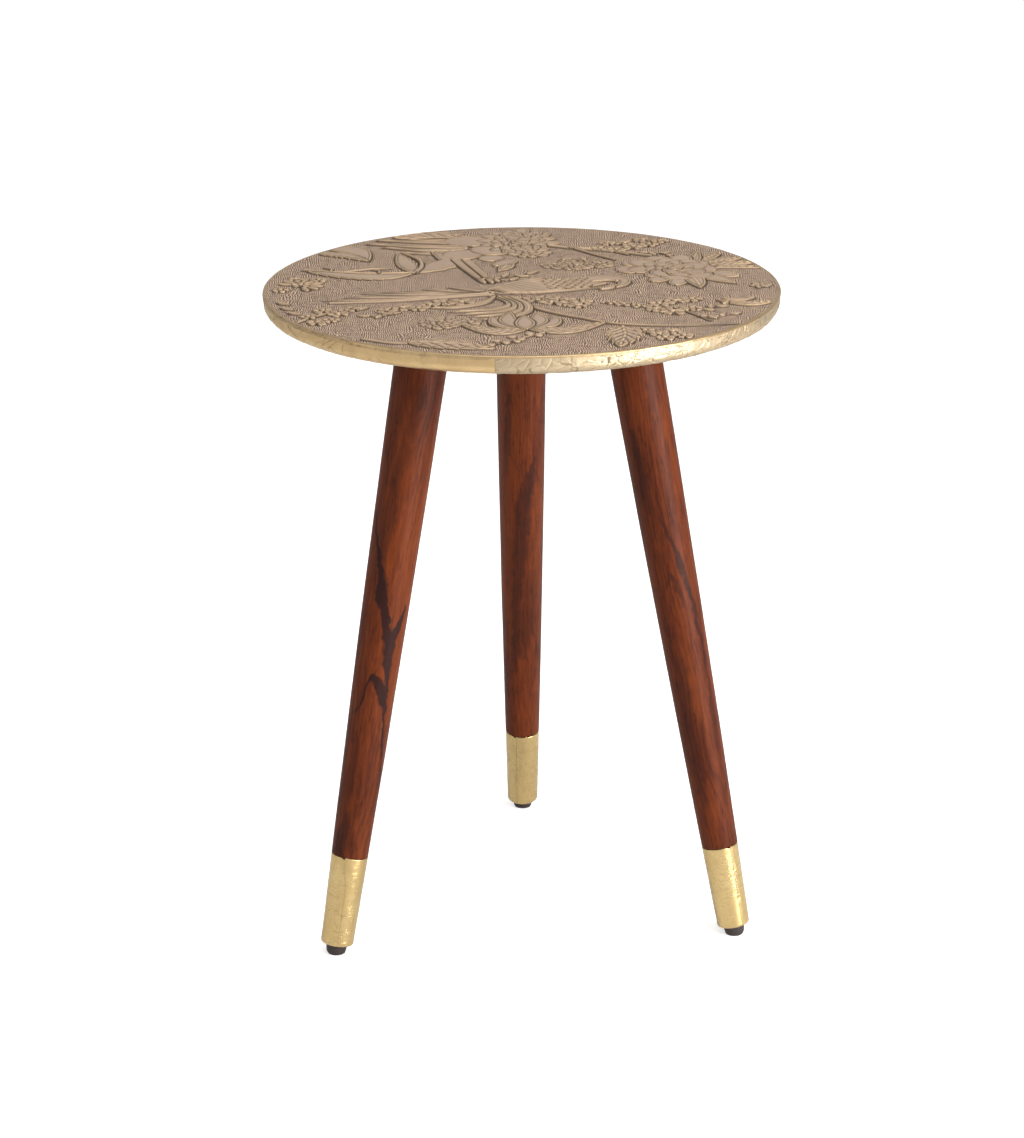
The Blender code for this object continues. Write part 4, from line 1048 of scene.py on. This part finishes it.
# A ferrule: sheet brass wrapped round the foot, its radius falling away from the lapped end at the seam, its rim
# tilted and its foot rolled under a quarter round, with a round dent about each pin
def makeFerrule(leg, material):
    side = leg["side"]
    seam = math.radians(legShape["seam"][side]) - leg["azimuth"]
    turned = np.linspace(0, 2 * np.pi, 160)[None, :]
    glide = legShape["glide"]
    length = legShape["ferrule"][side]
    top = glide + length
    topOut = legRadius(leg, top)
    roll = ferruleShape["roll"]
    rollRadius = legRadius(leg, glide + roll) - roll
    profile = [(topOut - 0.8, top - 1.2), (topOut - 0.75, top - 0.1), (topOut - 0.3, top), (topOut - 0.05, top - 0.12)]
    profile += [(legRadius(leg, a), a) for a in np.linspace(top - 0.5, glide + roll + 0.5, 90)]
    profile += [(rollRadius + roll * math.cos(a), glide + roll - roll * math.sin(a))
                for a in np.linspace(0, math.pi / 2, 7)]
    profile += [(10.2, glide), (10.0, glide + 0.2), (10.0, glide + 0.9)]
    radius, along = profileColumns(profile)
    share = np.clip((along - glide) / length, 0, 1)
    lapShare = turned / (2 * np.pi)
    angle = seam + turned + math.radians(legShape["seamLean"][side]) * smoothStep((share - 0.6) / 0.4)
    outer = smoothStep((along - glide) / 3.0) * (np.arange(len(profile))[:, None] > 1)
    lap = ferruleShape["lap"] * np.exp(-turned / 0.35) * outer
    rimShape = legShape["tilt"][side] * (np.exp(-turned / 0.5) + 0.5 * lapShare)
    rimShape = rimShape - 1.1 * np.exp(-((turned - 6.2) / 0.08) ** 2)  # a nick where the lapped end stops
    along = along + (rimShape - 0.3) * smoothStep((share - 0.85) / 0.15)
    lips = latticeNoise(lapShare, share, 26, 2, 71 + leg["seed"]) * smoothStep((share - 0.9) * 10)
    fine, slow = ferruleShape["beaten"]
    beaten = fine * latticeNoise(lapShare, share, 34, 26, 81 + leg["seed"])
    beaten = (beaten + slow * latticeNoise(lapShare, share, 9, 7, 91 + leg["seed"])) * outer
    depth, width = ferruleShape["dent"]
    offAngle = (turned + np.pi) % (2 * np.pi) - np.pi
    dents = 0 * along
    for pin in legShape["pins"]:
        distance = np.hypot(offAngle * radius, along - (glide + pin * length))
        dents = dents - depth * np.exp(-(distance / width) ** 2)
    radius = radius + lap + beaten + ferruleShape["lips"] * lips + dents * outer
    lapSeam = np.exp(-(np.minimum(turned, 2 * np.pi - turned) / 0.05) ** 2)
    seamMark = np.maximum(lapSeam, 0.8 * np.clip(-dents / depth - 0.35, 0, 1))
    piece = makePiece(f"ferruleSheet_{side}", placeTurned(leg, radius, along, angle),
                      gridQuads(*radius.shape, wrap=True), leg["body"], material, {"seam": seamMark})
    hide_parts(f"ferrule_{side}")


# A seam pin: a domed head's profile turned about a line that points out from the leg, sunk in its dent
def makePins(leg, material):
    side = leg["side"]
    seam = math.radians(legShape["seam"][side]) - leg["azimuth"]
    turn = fullTurn(24)
    profile = [(0.0, -0.22), (0.35, -0.26), (0.7, -0.4), (0.85, -0.55), (0.85, -0.8), (0.6, -1.0), (0.6, -6.0),
               (0.0, -6.4)]
    radius, depth = profileColumns(profile)
    for name, pin in zip(("lower", "upper"), legShape["pins"]):
        at = legShape["glide"] + pin * legShape["ferrule"][side]
        out = depth + legRadius(leg, at)
        sideways = radius * np.cos(turn)
        x = out * math.cos(seam) - sideways * math.sin(seam)
        y = out * math.sin(seam) + sideways * math.cos(seam)
        piece = makePiece(f"ferrulePin_{side}_{name}", placeOnLeg(leg, x, y, at + radius * np.sin(turn)),
                          gridQuads(*sideways.shape, wrap=True)[:, ::-1], leg["body"], material)
        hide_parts(f"ferrule_pin_{side}_{name}")


# (radius, height up the leg's axis) round the section of a glide, from inside its nail hole out and back
glideProfile = [
    (1.4, 9.3), (7.8, 9.3), (8.15, 9.15), (8.4, 8.7), (8.35, 7.0), (8.1, 5.0), (7.8, 3.0), (7.55, 1.8), (7.3, 1.0),
    (6.8, 0.3), (6.3, -0.3), (5.9, -0.8), (5.4, -1.2), (4.2, -1.6), (3.2, -1.7), (3.0, -1.4), (3.0, 4.4), (1.4, 4.5),
    (1.4, 9.3),
]


# A black glide: a short rounded cone about the leg's axis, and any point below the floor slid up the axis onto it
def makeGlide(leg, material):
    side = leg["side"]
    angle = fullTurn(72)
    radius, along = profileColumns(glideProfile)
    points = placeTurned(leg, radius, along, angle)
    up = leg["matrix"][:, 2]
    points = points - np.minimum(points[:, 2:], 0.0) / up[2] * up
    piece = makePiece(f"glidePad_{side}", points, gridQuads(len(glideProfile), angle.size, wrap=True), leg["body"],
                      material)
    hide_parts(f"glide_{side}")


# below and above are how far the bolt reaches into the leg and out of it, and core its radius under the thread
bolt = {"below": 18.0, "above": 10.8, "core": 3.32, "thread": 0.55, "pitch": 1.25}


# The hanger bolt: an M8 thread, whose radius rises and falls with height less a share of the turn
def makeBolt(leg, material):
    side = leg["side"]
    angle = fullTurn(48)
    start = legTop(leg) - bolt["below"]
    end = legTop(leg) + bolt["above"]
    along = np.linspace(end, start, 190)[:, None]
    phase = (along / bolt["pitch"] - angle / (2 * np.pi)) % 1.0
    radius = bolt["core"] + bolt["thread"] * np.clip(np.abs(phase * 2 - 1) * 1.3 - 0.15, 0, 1)
    radius = radius * (0.8 + 0.2 * smoothStep(end - along))
    radius = np.vstack([0 * angle, radius, 0 * angle])
    along = np.vstack([[[end + 0.05]], along, [[start]]])
    piece = makePiece(f"hangerBolt_{side}", placeTurned(leg, radius, along, angle), gridQuads(*radius.shape, wrap=True),
                      leg["body"], material)
    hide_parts(f"hanger_bolt_{side}")


legs = {side: readLeg(side) for side in sides}
embossed = makeEmbossedMaterial("embossedSheet")
rimBrass = makeBrassMaterial("rimBrass", brassFinishes["rim"])
stripBrass = {kind: makeBrassMaterial(f"stripBrass_{kind}", brassFinishes[f"strip_{kind}"]) for kind in strips}
ferruleBrass = {side: makeBrassMaterial(f"ferruleBrass_{side}", brassFinishes["ferrule"], legs[side]) for side in sides}
pinBrass = makeBrassMaterial("pinBrass", brassFinishes["pin"])
blackRubber, zincSteel, coreBoard = (makePlainMaterial(name) for name in plainFinishes)
print("stage: materials made")

sheetPieces = makeTopSheet(embossed)
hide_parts("embossed_top_sheet")
makeRim(rimBrass)
print("stage: embossed sheet made")
for kind in strips:
    makeStrip(kind, stripBrass[kind])
print("stage: edge strips made")
for side in sides:
    leg = legs[side]
    makeLegWood(leg, makeWoodMaterial(side, leg))
    makeFerrule(leg, ferruleBrass[side])
    makePins(leg, pinBrass)
    makeGlide(leg, blackRubber)
    makeBolt(leg, zincSteel)
print("stage: legs made")


# Gives a CAD node that stays as it is its finish
def dressNode(name, material):
    node = frame["nodes"][name]
    node.data.materials.clear()
    node.data.materials.append(material)


for name in frame["nodes"]:
    if name.startswith(("leg_plate", "threaded_bush", "plate_screw", "washer", "glide_nail")):
        dressNode(name, zincSteel)
dressNode("top_core", coreBoard)


cameraPlace = {"target": (-0.0087, 0.0, 0.2783), "elevation": 19.23, "distance": 2.6517, "lens": 105.46, "lean": -0.336}


# The camera looks at its target from straight in front and above, turned a little about its line of sight
def makeCamera():
    e = math.radians(cameraPlace["elevation"])
    back = Vector((0.0, -math.cos(e), math.sin(e)))
    up = Vector((0.0, math.sin(e), math.cos(e)))
    right = Vector((1.0, 0.0, 0.0))
    lean = math.radians(cameraPlace["lean"])
    camX = right * math.cos(lean) + up * math.sin(lean)
    camY = up * math.cos(lean) - right * math.sin(lean)
    data = bpy.data.cameras.new("camera")
    data.sensor_width = 36.0
    data.lens = cameraPlace["lens"]
    data.clip_end = 50.0
    camera = bpy.data.objects.new("camera", data)
    place = Vector(cameraPlace["target"]) + back * cameraPlace["distance"]
    camera.matrix_world = Matrix((
        (camX.x, camY.x, back.x, place.x), (camX.y, camY.y, back.y, place.y), (camX.z, camY.z, back.z, place.z),
        (0, 0, 0, 1)))
    bpy.context.scene.collection.objects.link(camera)
    bpy.context.scene.camera = camera


# A large pale plane just under the feet, which the camera sees a little brighter than the lights leave it
def makeFloor():
    mesh = bpy.data.meshes.new("floor")
    half = 30.0
    drop = -0.2 * mm
    corners = [(-half, -half, drop), (half, -half, drop), (half, half, drop), (-half, half, drop)]
    mesh.from_pydata(corners, [], [(0, 1, 2, 3)])
    material, tree, shader = newMaterial("paleFloor")
    shader.inputs["Base Color"].default_value = (0.78, 0.78, 0.78, 1)
    shader.inputs["Roughness"].default_value = 0.9
    shader.inputs["Specular IOR Level"].default_value = 0.0
    shader.inputs["Emission Color"].default_value = (1, 1, 1, 1)
    seen = addNode(tree, "ShaderNodeLightPath").outputs["Is Camera Ray"]
    tree.links.new(times(tree, seen, 0.57), shader.inputs["Emission Strength"])
    mesh.materials.append(material)
    floor = bpy.data.objects.new("floor", mesh)
    bpy.context.scene.collection.objects.link(floor)


lights = {
    "keyRight": {"place": (1.50, -1.15, 0.80), "width": 0.9, "height": 1.55, "power": 53.0},
    "lowRight": {"place": (0.95, -0.85, 0.20), "width": 0.6, "height": 0.35, "power": 0.25},
    "fillLeft": {"place": (-2.4, -1.2, 1.4), "width": 1.6, "height": 1.8, "power": 10.0},
    "overhead": {"place": (0.3, -0.4, 2.6), "width": 2.0, "height": 2.0, "power": 26.0},
}


# A white surround, and soft rectangular lamps that all face the middle of the table
def makeLights():
    world = bpy.data.worlds.new("studio")
    bpy.context.scene.world = world
    world.use_nodes = True
    tree = world.node_tree
    background = tree.nodes["Background"]
    seen = addNode(tree, "ShaderNodeLightPath").outputs["Is Camera Ray"]
    strength = plus(tree, times(tree, seen, 0.55), 0.55)
    tree.links.new(strength, background.inputs["Strength"])
    background.inputs["Color"].default_value = (1, 1, 1, 1)
    for name, style in lights.items():
        data = bpy.data.lights.new(name, "AREA")
        data.energy = style["power"]
        data.shape = "RECTANGLE"
        data.size = style["width"]
        data.size_y = style["height"]
        lamp = bpy.data.objects.new(name, data)
        lamp.location = style["place"]
        aim = Vector((0, 0, 0.35)) - Vector(style["place"])
        lamp.rotation_euler = aim.to_track_quat("-Z", "Y").to_euler()
        bpy.context.scene.collection.objects.link(lamp)
    bpy.context.scene.view_settings.view_transform = "Standard"


makeCamera()
makeFloor()
makeLights()
print("stage: camera, floor and lights made")
